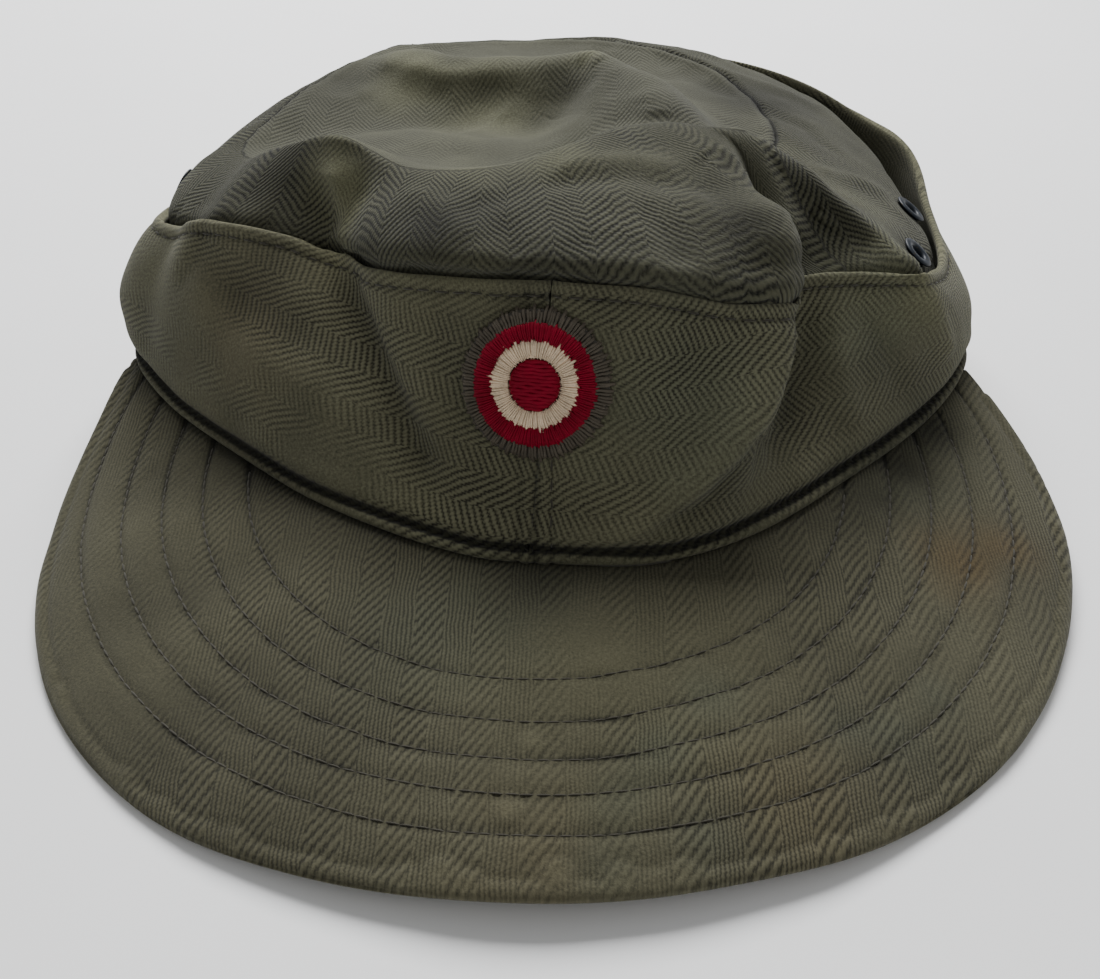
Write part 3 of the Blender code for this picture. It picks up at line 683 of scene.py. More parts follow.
# %% Merge the two pieces of the crown
def in_hole(vertex):
    """Whether a point belongs to the rim of an eyelet hole."""
    for middle, axis in eyelet_axes.values():
        reach = np.array(vertex.co) / MM - middle
        rise = reach @ axis
        if abs(rise) < HOLE_DEPTH and np.linalg.norm(reach - axis * rise) < HOLE_RADIUS + HOLE_RIM:
            return True
    return False


def close_holes(piece):
    """Remove the rims of the eyelet holes and fill the gaps."""
    with shell_of(piece) as shell:
        rims = [vertex for vertex in shell.verts if in_hole(vertex)]
        bmesh.ops.delete(shell, geom=rims, context="VERTS")
        open_edges = [edge for edge in shell.edges if edge.is_boundary]
        filled = bmesh.ops.holes_fill(shell, edges=open_edges, sides=0)["faces"]
        print("eyelet holes closed:", len(filled) // 2)


side = cloth_copy("crown_side", "crown_side_cloth")
close_holes(side)
top = cloth_copy("crown_top", "crown_top_cloth")
SIDE_SLOT, TOP_SLOT = 0, 1
labels = [bpy.data.materials.new(label) for label in ("side", "top")]
for piece, slot in ((side, SIDE_SLOT), (top, TOP_SLOT)):
    for label in labels:
        piece.data.materials.append(label)
    piece.data.polygons.foreach_set("material_index", [slot] * len(piece.data.polygons))

only(top, side)
bpy.ops.object.join()
crown = side
with shell_of(crown) as shell:
    bmesh.ops.remove_doubles(shell, verts=shell.verts, dist=0.4 * MM)
    inside = [face for face in shell.faces if sum(len(edge.link_faces) > 2 for edge in face.edges) >= 2]
    seam_corners = np.array([vertex.co for face in inside for vertex in face.verts]) / MM
    bmesh.ops.delete(shell, geom=inside, context="FACES_ONLY")
    bmesh.ops.recalc_face_normals(shell, faces=shell.faces)
print("faces taken out at the seam:", len(inside))
refine(crown)

# %% Measures of the crown
CROWN = HEAD + np.array((-12.0, 22.0, 35.0))  # inside the crown, under the top's middle
top_seam = dense(first_points(seam_corners, -seam_corners[:, 2], 90, CROWN))
print("top seam in mm:", len(top_seam))

# %% Shape the crown
# Turn in degrees, and how plainly the top seam shows there
SEAM_SHOWS = ((-180, 0.5), (-120, 0.4), (-60, 0.0), (38, 0.0), (62, 0.9), (75, 1.0), (140, 1.0), (180, 0.5))
STRAIGHT = 52.0  # degrees from the front up to which the side's columns run on into the top's
GATHERED = 1.2  # more cloth in the side wall than the seam is long, because it is gathered
CROWN_SLACK = ((1.0, 24, 1.0), (0.55, 10, 4.0), (0.25, 5, 8.0))  # height and size in mm, offset
EYELET_CALM = 6.0  # mm round an eyelet where the cloth lies flat
BULGE_TURN = 60.0  # degrees from the front up to which the wall bulges over the band


def weave_ring():
    """Turns of the top seam, and at each of them the place across the weave and along it."""
    turns = turn_of(top_seam, CROWN)
    order = np.argsort(turns)
    ring, turns = top_seam[order], turns[order]
    lengths = run_lengths(ring)
    front = np.abs(turns) < STRAIGHT
    across = ring[:, 0].copy()
    for beyond, edge in ((turns >= STRAIGHT, np.flatnonzero(front)[-1]),
                         (turns <= -STRAIGHT, np.flatnonzero(front)[0])):
        across[beyond] = ring[edge, 0] + lengths[beyond] - lengths[edge]
    return turns, across, ring[:, 1]


def shape_crown(piece):
    """Give the crown its seam, its slack and its creases, and measure its cloth."""
    place, normal = points_of(piece)
    outer = (normal * (place - CROWN)).sum(1) > 0
    turn = turn_of(place, CROWN)
    seam = gap_to(place, top_seam)
    edge = gap_to(place, edge_line)
    turns, across, along = weave_ring()
    arc, seam_y = np.interp(turn, turns, across), np.interp(turn, turns, along)
    shows = np.interp(turn, *zip(*SEAM_SHOWS))
    on_top = np.zeros(len(place), bool)
    for face in piece.data.polygons:
        if face.material_index == TOP_SLOT:
            on_top[list(face.vertices)] = True
    # The seam with the felled edge above it, its puckers, and the gathers over the band
    push = -1.1 * shows * ridge(seam, 0.8) + 0.5 * shows * on_top * ridge(seam - 2.6, 1.2)
    push += 0.35 * shows * puckers(arc, seam, (6.5, 12), 9.0) * ridge(seam - 5, 4.0)
    gather = puckers(arc, edge, (5.0, 16), 2.0)
    push += 0.55 * np.where(on_top, 0, np.clip(seam / 6, 0, 1)) * gather * ridge(edge - 2, 5.0)
    push += np.where(on_top | (np.abs(turn) > BULGE_TURN), 0, 1.0) * ridge(edge - 3, 3.0)
    push += lumps(place, CROWN_SLACK)
    folds = crease_push(place, normal, outer)
    hidden = place[:, 2] < np.interp(turn_of(place), turn_of(edge_ring), edge_ring[:, 2]) - 2
    push = np.where(hidden & ~on_top, np.minimum(push, 0), push)
    push = np.where(outer, push, -push) + folds
    for middle, _ in eyelet_axes.values():
        push *= 1 - ridge(np.linalg.norm(place - middle, axis=1), EYELET_CALM)
    push_out(piece, place, normal, push)
    # Wear and shade: raised cloth paler, hollows and the top seam darker, which is painted shade
    wear_and_shade = 0.5 + 0.16 * push + 0.15 * cloud(place, 12, 6.0)
    wear_and_shade -= 0.35 * shows * ridge(seam, 0.9)
    write_shade(piece, wear_and_shade)
    down = way_along(piece, place, seam)
    along = np.where(on_top, place[:, 1], np.where(np.abs(turn) < STRAIGHT, seam_y, 0) - down)
    write_weave(piece, np.where(on_top, place[:, 0], GATHERED * arc), along)


shape_crown(crown)

# %% Soften the fallen crest
CREST_TURN = 64.0  # degrees from the front up to which the seam is a slack crest
CREST_REACH = 9.0  # mm beside the seam

place, _ = points_of(crown)
crest = (gap_to(place, top_seam) < CREST_REACH) & (np.abs(turn_of(place, CROWN)) < CREST_TURN)
only(crown)
for kind in ("vertices", "edges", "polygons"):
    getattr(crown.data, kind).foreach_set("select", [False] * len(getattr(crown.data, kind)))
crown.data.vertices.foreach_set("select", crest)
with edit_mode():
    bpy.ops.mesh.select_mode(type="VERT")
    bpy.ops.mesh.vertices_smooth(factor=0.5, repeat=40)
print("points of the crest:", int(crest.sum()))

# %% Part the crown at its top seam
def cap_rims(piece):
    """Join the outer and the inner rim of an open shell with a narrow wall."""
    with shell_of(piece) as shell:
        open_edges = [edge for edge in shell.edges if edge.is_boundary]
        made = bmesh.ops.bridge_loops(shell, edges=open_edges)["faces"]
        bmesh.ops.recalc_face_normals(shell, faces=shell.faces)
        print(piece.name, "faces in the rim:", len(made))


only(crown)
with edit_mode():
    bpy.ops.mesh.separate(type="MATERIAL")
parts = list(bpy.context.selected_objects)
crown_side = min(parts, key=lambda part: min(vertex.co.z for vertex in part.data.vertices))
crown_top = next(part for part in parts if part is not crown_side)
crown_top.name, crown_side.name = "crown_top_cloth", "crown_side_cloth"
for piece, node in ((crown_side, "crown_side"), (crown_top, "crown_top")):
    cap_rims(piece)
    piece.data.materials.clear()
    stands_for(piece, node)

# %% Cut the eyelet holes again
for name, (middle, axis) in eyelet_axes.items():
    deselect()
    bpy.ops.mesh.primitive_cylinder_add(vertices=24, radius=HOLE_RADIUS * MM, depth=12 * MM,
                                        location=Vector(middle * MM),
                                        rotation=Vector(axis).to_track_quat("Z", "Y").to_euler())
    drill = bpy.context.object
    only(crown_side)
    bpy.ops.object.modifier_add(type="BOOLEAN")
    cut = crown_side.modifiers[-1]
    cut.operation, cut.object = "DIFFERENCE", drill
    bpy.ops.object.modifier_apply(modifier=cut.name)
    bpy.data.objects.remove(drill)
print("crown side faces:", len(crown_side.data.polygons))

# %% [markdown]
# ## Peak
#
# The peak is two layers of twill over a stiff cloth, quilted by rows of stitches that
# run round its own middle. Each row lies in a groove, the cloth swells a little between
# two rows, and the outer edge is turned under.

# %% Shape the peak
PEAK = HEAD + np.array((0.0, -60.0, 0.0))  # middle of the peak's curves
ROWS = ((67.0, 67.0), (76.5, 77.0), (84.5, 86.0), (91.5, 95.0), (99.0, 104.0))  # at the front, at the sides
TURNED_EDGE = 3.6  # mm from the peak's edge to the end of its turn
PEAK_ENDS = 105  # degrees from the front to the ends of the peak
PEAK_RADIUS = 90  # mm from the middle to the rows, on average
EDGE_TURN = ((0.35, 1.6, 1.6), (-0.35, TURNED_EDGE, 0.7))  # height, distance and width in mm
QUILTING = ((1.0, 3.0, 2.0), (1.0, -3.0, 2.0))  # the same on both sides of a row
PEAK_WAVES = ((0.8, 34, 2.0), (0.35, 13, 5.0))  # height and size in mm, offset


def row_radius(row, turn):
    """Distance of a row of stitches from the peak's middle, in millimetres."""
    at_front, at_side = row
    return at_front + (at_side - at_front) * np.sin(np.radians(turn)) ** 2


peak = cloth_copy("peak", "peak_cloth")
refine(peak)


def shape_peak(piece):
    """Give the peak its quilting, its turned edge and its slight waves."""
    place, normal = points_of(piece)
    outer = normal[:, 2] > 0.15
    reach, turn = reach_of(place, PEAK), turn_of(place, PEAK)
    rim = first_points(place, -reach, 720, PEAK)
    rim = rim[np.abs(turn_of(rim, PEAK)) < PEAK_ENDS]
    edge = gap_to(place, rim)
    push = profile(edge, EDGE_TURN) + lumps(place, PEAK_WAVES)
    swell = 0.10 + 0.18 * puckers(np.radians(turn) * PEAK_RADIUS, reach, (6.0, 5), 4.0)
    gaps = [reach - row_radius(row, turn) for row in ROWS]
    push += sum(swell * profile(gap, QUILTING) - 0.45 * ridge(gap, 0.65) for gap in gaps)
    push = np.where(outer, push, 0)
    push_out(piece, place, normal, push)
    # Wear and shade: the rubbed edge is paler; hollows, the rows' grooves and the cloth beside the band's
    # foot are darker, painted shade, the last a painted shadow under the band
    wear_and_shade = 0.5 + 0.14 * push + 0.35 * ridge(edge, 1.5) + 0.18 * cloud(place, 18, 3.0)
    wear_and_shade -= 0.33 * sum(ridge(gap, 0.6) for gap in gaps)
    write_shade(piece, wear_and_shade - 0.3 * ridge(gap_to(place, foot_line), 5.0))
    write_weave(piece, place[:, 0], place[:, 1])
    return {"turn": turn, "reach": reach, "outer": outer}


peak_measures = shape_peak(peak)
stands_for(peak, "peak")

# %% Faded, stained and rubbed patches, and patches of painted light and shade
PATCHES = {
    # strength, radius in mm and pixel of the photograph of each patch of a kind
    # faded_and_painted_shade patches: most are faded, cooler cloth; the first three lie in the shade below
    # the band and give it a painted cool tint
    "faded_and_painted_shade": ((0.5, 16, (430, 625)), (0.35, 12, (540, 600)), (0.4, 13, (905, 500)), (0.6, 6, (660, 752)),
        (0.3, 14, (930, 440)), (0.6, 7, (709, 699)), (0.6, 6, (603, 862)), (0.5, 5, (618, 797)),
        (0.5, 6, (706, 836)), (0.5, 6, (902, 739)), (0.5, 6, (935, 696)), (0.5, 6, (848, 726)),
        (0.5, 14, (870, 320)), (0.5, 18, (700, 400))),
    "stained": ((0.5, 9, (958, 560)), (0.4, 8, (1010, 545)), (0.15, 14, (800, 800)),
        (0.12, 14, (560, 860)), (0.15, 16, (240, 330))),
    # pale patches: the worn tip and the crests are rubbed, paler cloth; those in the top's dip, the left
    # valley, along the roll over the band's edge and on the peak's middle are painted light on shaded places
    "pale": ((1.0, 7, (348, 205)), (0.8, 7, (340, 175)), (0.7, 7, (356, 235)), (0.5, 6, (330, 145)),
        (0.5, 8, (470, 168)), (0.5, 8, (560, 160)), (0.4, 8, (640, 160)), (0.6, 5, (590, 57)),
        (0.5, 7, (790, 150)), (0.5, 7, (850, 200)), (0.5, 6, (890, 240)), (0.4, 8, (925, 290)),
        (0.3, 14, (420, 500)), (1.0, 17, (490, 92)), (0.7, 12, (415, 78)), (0.35, 26, (620, 680)),
        (0.4, 7, (400, 258)), (0.4, 7, (460, 262)), (0.4, 10, (865, 300))),
    # painted_shade patches: painted shade on the crown's rear, the fronts of the rolls, under the band's
    # right flap and on the peak
    "painted_shade": ((0.2, 32, (210, 760)), (0.6, 20, (750, 100)), (0.3, 14, (330, 95)), (0.7, 8, (430, 222)),
        (0.7, 10, (740, 232)), (0.7, 8, (905, 470)), (0.6, 7, (935, 430)), (0.5, 8, (860, 505)),
        (0.25, 14, (120, 600)), (0.35, 6, (270, 478)), (0.4, 9, (540, 590))),
    "smooth": ((1.0, 14, (570, 115)), (0.9, 26, (760, 90)), (0.8, 22, (850, 150)), (0.9, 22, (540, 50)),
        (0.7, 14, (330, 75)), (0.6, 9, (480, 165)), (0.6, 9, (640, 168)), (0.5, 12, (360, 150)),
        (0.8, 12, (920, 330)), (0.6, 14, (880, 300)), (0.6, 18, (150, 260)), (0.6, 26, (90, 560)),
        (0.5, 20, (150, 660)), (0.5, 16, (590, 650)), (0.7, 22, (160, 480)), (0.6, 14, (190, 300)),
        (0.5, 10, (230, 440)), (0.4, 10, (330, 480)), (0.9, 20, (485, 92))),
}


def write_patches(piece):
    """Point attributes: faded cloth, stains, rubbed and smooth places, and patches of painted light and
    painted shade.
    """
    place, _ = points_of(piece)
    ragged = 1 + 0.35 * cloud(place, 8, 3.0)
    for kind, patches in PATCHES.items():
        total = np.zeros(len(place))
        if kind == "smooth" and "rubbed" in piece.data.attributes:
            piece.data.attributes["rubbed"].data.foreach_get("value", total)
        for strength, radius, pixel in patches:
            total += strength * ridge(np.linalg.norm(place - seen(*pixel), axis=1) * ragged, radius)
        write_shade(piece, total, kind)


for piece in (*band.values(), crown_side, crown_top, peak):
    write_patches(piece)
print("kinds of patches:", len(PATCHES))

# %% [markdown]
# ## Herringbone twill
#
# The cloth is a cotton herringbone twill. In a column the floats step one way and make
# slanting ridges, in the next column they step the other way, and the two meet at a
# sharp line. The ridges lie about 1.3 mm apart, the yarns that cross them 0.78 mm, and
# the columns repeat every 12.3 mm. The ridges are grey-green yarn, the gaps show darker
# brown yarn, and rubbed places are paler. Grooves and hollows are darkened with painted
# shade, and on the side wall the gaps are almost black, painted shade between the yarns.

# %% Weave from the cloth's own places
PERIOD = 12.3  # mm from one column to the same column again
YARN = 0.78  # mm from one crossing yarn to the next
YARN_STEP = 0.37  # yarns by which the next ridge is shifted
WANDER = ((0.05, 3.0), (0.6, 0.45))  # lumps per mm and reach in mm: of the columns, of the yarns


def slope(angle, pitch):
    """Vector that counts lines with a pitch in mm and an angle in degrees, times a place."""
    lean = math.radians(angle)
    return -math.sin(lean) / pitch, math.cos(lean) / pitch, 0


def herringbone(tree, halves, share):
    """Height of the twill about 0. Each half of a column has ridges with an angle, a pitch and a
    strength, and yarns that cross them with an angle and a strength."""
    places = [add(tree, "UVMap", uv_map="weave")]
    for scale, reach in WANDER:
        drift = add(tree, "TexNoise", {"Vector": places[-1], "Scale": scale, "Detail": 2.0}, out="Color")
        drift = add(tree, "VectorMath MULTIPLY", {0: drift, 1: (reach, reach, 0.0)})
        places.append(add(tree, "VectorMath ADD", {0: places[-1], 1: drift}))
    _, cloth, yarn = places
    column = add(tree, "SeparateXYZ", {0: cloth}, out="X")
    column = add(tree, "Math DIVIDE", {0: column, 1: PERIOD})
    column = add(tree, "Math FRACT", {0: column})
    heights = []
    for angle, pitch, strength, yarn_angle, yarn_strength in halves:
        ridges = add(tree, "VectorMath DOT_PRODUCT", {0: yarn, 1: slope(angle, pitch)}, out="Value")
        yarns = add(tree, "VectorMath DOT_PRODUCT", {0: yarn, 1: slope(yarn_angle, YARN)}, out="Value")
        step = add(tree, "Math ADD", {0: ridges, 1: 0.25})
        step = add(tree, "Math FLOOR", {0: step})
        yarns = add(tree, "Math MULTIPLY_ADD", {0: step, 1: YARN_STEP, 2: yarns})
        height = 0.0
        for count, weight in ((yarns, yarn_strength), (ridges, 0.8 * strength)):
            wave = add(tree, "Math MULTIPLY", {0: count, 1: FULL_TURN})
            wave = add(tree, "Math SINE", {0: wave})
            height = add(tree, "Math MULTIPLY_ADD", {0: wave, 1: weight, 2: height})
        heights.append(height)
    second = add(tree, "Math GREATER_THAN", {0: column, 1: share})
    return add(tree, "Mix", {0: second, 2: heights[0], 3: heights[1]}, data_type="FLOAT"), cloth


# %% Cotton twill
# Tints laid over the twill: faded cloth with a painted cool shade, stains, rubbed cloth with painted light,
# and painted shade
MARK_TINTS = (("faded_and_painted_shade", "#B0BAC2"), ("stained", "#C79E6E"), ("pale", "#F1F1E6"), ("painted_shade", "#26241F"))


def cotton_twill(name, halves, ridge_tint, gap_tint, relief, share, contrast):
    """Matt cotton: ridges and gaps of two yarns, rubbed, faded and stained in places, with painted light and
    painted shade.
    """
    material, tree, shader = new_material(name, 0.92, Specular_IOR_Level=0.18, Sheen_Weight=0.08,
                                          Sheen_Roughness=0.5)
    height, cloth = herringbone(tree, halves, share)
    place = add(tree, "TexCoord", out="Object")
    marks = {kind: add(tree, "Attribute", out="Fac", attribute_name=kind)
             for kind in ("wear_and_shade", "smooth", "faded_and_painted_shade", "stained", "pale", "painted_shade")}
    worn = add(tree, "TexNoise", {"Vector": place, "Scale": 30.0, "Detail": 3.0})
    worn = add(tree, "MapRange", {0: worn, 1: 0.36, 2: 0.66, 3: 1.55, 4: 0.8})
    for mark, weight in (("smooth", -0.85), ("wear_and_shade", -0.9)):
        worn = add(tree, "Math MULTIPLY_ADD", {0: marks[mark], 1: weight, 2: worn})
    worn = add(tree, "Math MULTIPLY", {0: worn, 1: contrast}, use_clamp=True)
    height = add(tree, "Math MULTIPLY", {0: height, 1: worn})
    fuzz = add(tree, "TexNoise", {"Vector": cloth, "Scale": 1.7, "Detail": 4.0, "Roughness": 0.75})
    fuzz = add(tree, "Math ADD", {0: fuzz, 1: -0.5})
    ragged = add(tree, "Math MULTIPLY_ADD", {0: fuzz, 1: 2.6, 2: height})
    tone = add(tree, "MapRange", {0: ragged, 1: -1.25, 2: 0.85}, interpolation_type="SMOOTHSTEP")
    colour = add(tree, "Mix", {0: tone, 6: linear(gap_tint), 7: linear(ridge_tint)}, out=2, data_type="RGBA")
    for kind, tint in MARK_TINTS:
        colour = add(tree, "Mix", {0: marks[kind], 6: colour, 7: linear(tint)}, out=2,
                     data_type="RGBA", blend_type="SOFT_LIGHT")
    speck = add(tree, "TexNoise", {"Vector": cloth, "Scale": 0.8, "Detail": 5.0, "Roughness": 0.8})
    cast = add(tree, "TexNoise", {"Vector": place, "Scale": 45.0, "Detail": 6.0, "Roughness": 0.6})
    light = add(tree, "Math MULTIPLY_ADD", {0: cast, 1: 0.5, 2: marks["wear_and_shade"]})
    light = add(tree, "Math MULTIPLY_ADD", {0: speck, 1: 0.8, 2: light})
    light = add(tree, "Math MULTIPLY_ADD", {0: light, 1: 0.8, 2: 0.06})
    # Where wear and shade is low the colour turns almost black: painted shade in deep grooves
    groove_shade = add(tree, "MapRange", {0: marks["wear_and_shade"], 1: 0.0, 2: 0.2, 3: 0.3, 4: 1.0})
    light = add(tree, "Math MULTIPLY", {0: light, 1: groove_shade})
    colour = add(tree, "VectorMath SCALE", {0: colour, "Scale": light})
    coat(tree, shader, colour, ragged, 1.0, 0.5 * relief)
    return material


# Angle in degrees, pitch in mm and strength of the ridges, then angle and strength of the yarns
BAND_HALVES = ((58, 1.35, 1, 118, 0.36), (158, 1.3, 0.85, 53, 0.34))
CROWN_HALVES = ((47, 1.3, 1, 122, 0.26), (128, 1.05, 0.9, 53, 0.26))
PEAK_HALVES = ((58, 1.6, 1, 92, 0.32), (92, 0.82, 0.85, 8, 0.22))
TWILLS = (
    # pieces, name, halves, tints of ridges and gaps, relief in mm, share of the first half, contrast
    (band.values(), "band", BAND_HALVES, "#676651", "#201E18", 0.22, 0.55, 0.95),
    # The side wall's gap tint is almost black: painted shade between its yarns
    ([crown_side], "crown", CROWN_HALVES, "#4D4D3E", "#0E0E0C", 0.3, 0.55, 1.2),
    ([crown_top], "top", CROWN_HALVES, "#515143", "#24241C", 0.2, 0.55, 0.8),
    ([peak], "peak", PEAK_HALVES, "#545241", "#29281F", 0.13, 0.5, 0.95),
)
for pieces, name, *look in TWILLS:
    twill = cotton_twill("cotton_twill_" + name, *look)
    for piece in pieces:
        piece.data.materials.append(twill)
print("twills:", len(TWILLS))

# %% [markdown]
# ## Sewing thread
#
# One stitch is modelled and then copied along every row. It is a short thick thread
# that dives into the cloth at both ends. A row finds its places by the cloth's own
# measures, such as 3 mm under the band's edge, so it follows every fold.

# %% One stitch
STITCH, THREAD = 2.9, 0.42  # length and thickness in mm
BAND_GAP, PEAK_GAP = 1.0, -0.2  # mm between two stitches, which overlap on the peak
STITCH_BEND = 0.09  # how steeply the ends dive, per mm of length squared
STITCH_LIFT = 0.05  # mm over the cloth
STITCH_SHAKE = 0.15  # mm that a stitch strays along its row
NEAR = 0.05  # mm within which a point of the cloth counts as met
ROW_STEP, ROW_WIDTH, ROW_HOLE = 0.8, 2.5, 1.6  # mm along a row, searched beside it, and left open in it

deselect()
bpy.ops.mesh.primitive_uv_sphere_add(segments=6, ring_count=5, radius=1.0)
model_stitch = bpy.context.object
with edit_mode():
    bpy.ops.transform.rotate(value=math.pi / 2, orient_axis="Y", center_override=(0, 0, 0))
    bpy.ops.transform.resize(value=(0.5 * STITCH, 0.5 * THREAD, 0.5 * THREAD), center_override=(0, 0, 0))
stitch_points = points_of(model_stitch)[0] * MM
stitch_points[:, 2] -= STITCH_BEND * stitch_points[:, 0] ** 2
stitch_faces = [tuple(face.vertices) for face in model_stitch.data.polygons]
bpy.data.objects.remove(model_stitch)
print("faces in a stitch:", len(stitch_faces))

# %% Rows on the cloth
def find_row(piece, along, across, level, spots, outer):
    """Points and normals where one measure has a level, at each spot of the other."""
    place, normal = points_of(piece)
    near = outer & (across > np.min(level) - ROW_WIDTH) & (across < np.max(level) + ROW_WIDTH)
    near = np.flatnonzero(near)
    tree = KDTree(len(near))
    for number in near:
        tree.insert((along[number], across[number], 0), number)
    tree.balance()
    points, normals = [], []
    for spot, height in zip(spots, np.broadcast_to(level, np.shape(spots))):
        found = tree.find_n((spot, height, 0), 4)
        weights = np.array([1 / (gap + NEAR) for _, _, gap in found])
        chosen = [number for _, number, _ in found]
        if found[0][2] < ROW_HOLE:
            points.append(weights @ place[chosen] / weights.sum())
            normals.append(weights @ normal[chosen])
    return evened(points, "edge"), unit(evened(normals, "edge"))


def sew(rows, space, seed):
    """Places of the stitches along rows: middle, direction and normal of each."""
    jitter = np.random.default_rng(seed)
    frames = []
    for points, normals in rows:
        lengths = run_lengths(points)
        for start in np.arange(STITCH, lengths[-1] - STITCH, STITCH + space):
            middle = start + jitter.uniform(-STITCH_SHAKE, STITCH_SHAKE)
            tail, centre, head = path_at(points, lengths, middle + np.array((-0.5, 0, 0.5)) * STITCH)
            normal = normals[min(np.searchsorted(lengths, middle), len(normals) - 1)]
            frames.append((centre + normal * STITCH_LIFT, unit(head - tail), normal))
    return frames


def thread_piece(name, corners, faces, material, slot):
    """Piece of thread from blocks of points in millimetres and from faces."""
    mesh = bpy.data.meshes.new(name)
    mesh.from_pydata((np.concatenate(corners) * MM).tolist(), [], faces)
    mesh.shade_smooth()
    mesh.materials.append(material)
    piece = bpy.data.objects.new(name, mesh)
    bpy.context.scene.collection.objects.link(piece)
    stands_for(piece, slot=slot)
    print(name, "faces:", len(faces))


def stitches(name, frames):
    """One mesh with a copy of the stitch at each place."""
    corners, faces = [], []
    for middle, forward, normal in frames:
        sideways = unit(np.cross(normal, forward))
        offset = len(corners) * len(stitch_points)
        corners.append(middle + stitch_points @ np.stack((forward, sideways, np.cross(forward, sideways))))
        faces += [tuple(v + offset for v in face) for face in stitch_faces]
    thread_piece(name, corners, faces, DARK_THREAD, "twill")


# %% Thread
def cotton_thread(name, tint, roughness):
    """Spun thread: fine flecks, some darker than its tint."""
    material, tree, shader = new_material(name, roughness, Specular_IOR_Level=0.3, Sheen_Weight=0.2)
    place = add(tree, "TexCoord", out="Object")
    fleck = add(tree, "TexNoise", {"Vector": place, "Scale": 1400.0, "Detail": 2.0})
    tone = add(tree, "Mix", {0: fleck, 6: linear(tint, 0.62), 7: linear(tint)}, out=2, data_type="RGBA")
    coat(tree, shader, tone, fleck, 0.5, 0.08)
    return material


DARK_THREAD = cotton_thread("cotton_thread_dark", "#3A372C", 0.75)

# %% Rows of the band
band_rows = []
for node, piece in band.items():
    measure = band_measures[node]
    spots = np.arange(measure["arc"].min() + 1, measure["arc"].max() - 1, ROW_STEP)
    band_rows.append(find_row(piece, measure["arc"], measure["edge"], EDGE_STITCH, spots, measure["outer"]))
right = band_measures["band_right"]
seam_at = np.interp(FRONT_TURN, *band_arc) + SEAM_STITCH
band_rows.append(find_row(band["band_right"], right["foot"], right["arc"], seam_at,
                          np.arange(2.0, 70.0, ROW_STEP), right["outer"]))
stitches("band_stitches", sew(band_rows, BAND_GAP, 3))

# %% Rows of the peak
TURN_LENGTH = 1.5  # mm of a row for each degree

peak_rows = []
for row in ROWS:
    turns = np.arange(-100, 100, 0.5)
    radii = row_radius(row, turns)
    spots = PEAK + np.stack((np.sin(np.radians(turns)) * radii, -np.cos(np.radians(turns)) * radii,
                             0 * radii), 1)
    clear = reach_of(spots) > 0.5 + np.interp(turn_of(spots), turn_of(foot_ring), reach_of(foot_ring))
    peak_rows.append(find_row(peak, peak_measures["turn"] * TURN_LENGTH, peak_measures["reach"],
                              radii[clear], turns[clear] * TURN_LENGTH, peak_measures["outer"]))
stitches("peak_stitches", sew(peak_rows, PEAK_GAP, 5))

# %% [markdown]
# ## Cockade
#
# The round cockade is machine embroidery in shiny thread: a red ring, a white ring with
# a ragged edge that runs over the red, a red middle of level rows, and a dull satin
# border round it all. Every stitch is a thin closed tube of thread that lies on the
# raised rings of the model. The stitches fan out, so each is wider at its outer end.

# %% Face of the cockade
COCKADE = ("cockade_backing", "cockade_outer_ring", "cockade_middle_ring", "cockade_centre")
RED_REACH, WHITE_REACH, CENTRE_REACH, BORDER_REACH = 12.5, 9.1, 5.3, 15.5  # mm from the middle
OVER = 8  # mm over the face, where the search for its surface starts

cockade_tree = surface_tree([frame["nodes"][name] for name in COCKADE] + list(band.values()))
cockade_middle, cockade_out = disc_axis("cockade_outer_ring")
cockade_right = unit(np.cross((0, 0, 1), cockade_out))
cockade_up = np.cross(cockade_out, cockade_right)


def on_cockade(x, y, lift):
    """Point over the cockade's surface, x to the right and y up from its middle."""
    start = cockade_middle + cockade_right * x + cockade_up * y + cockade_out * OVER
    hit = cockade_tree.ray_cast(Vector(start * MM), -Vector(cockade_out), 20 * MM)[0]
    ground = start - cockade_out * (OVER + 1) if hit is None else np.array(hit) / MM
    return ground + cockade_out * lift


# %% Thread tubes
TUBE_SIDES = 6
TIP = 0.5, 0.4, 0.30  # part of the width and height at a tip, and its dive in mm
SATIN_HEIGHT, ROW_HEIGHT = 0.24, 0.26  # mm, half the thickness of a thread


def tubes(name, paths, material, slot):
    """One mesh of closed thread tubes. A path is a row of (point, half width, half height)."""
    corners, faces = [], []
    spokes = np.linspace(0, FULL_TURN, TUBE_SIDES, endpoint=False)
    for path in paths:
        forward = unit(np.gradient(np.array([point for point, _, _ in path]), axis=0))
        sideways = unit(np.cross(np.broadcast_to(cockade_out, forward.shape), forward))
        upward = np.cross(forward, sideways)
        base = sum(len(block) for block in corners)
        for number, (point, width, height) in enumerate(path):
            corners.append(point + np.outer(np.cos(spokes) * width, sideways[number])
                           + np.outer(np.sin(spokes) * height, upward[number]))
            if number:
                start = base + (number - 1) * TUBE_SIDES
                for one in range(TUBE_SIDES):
                    other = (one + 1) % TUBE_SIDES
                    faces.append((start + one, start + other,
                                  start + TUBE_SIDES + other, start + TUBE_SIDES + one))
        last = base + (len(path) - 1) * TUBE_SIDES
        faces.append(tuple(range(base + TUBE_SIDES - 1, base - 1, -1)))
        faces.append(tuple(range(last, last + TUBE_SIDES)))
    thread_piece(name, corners, faces, material, slot)


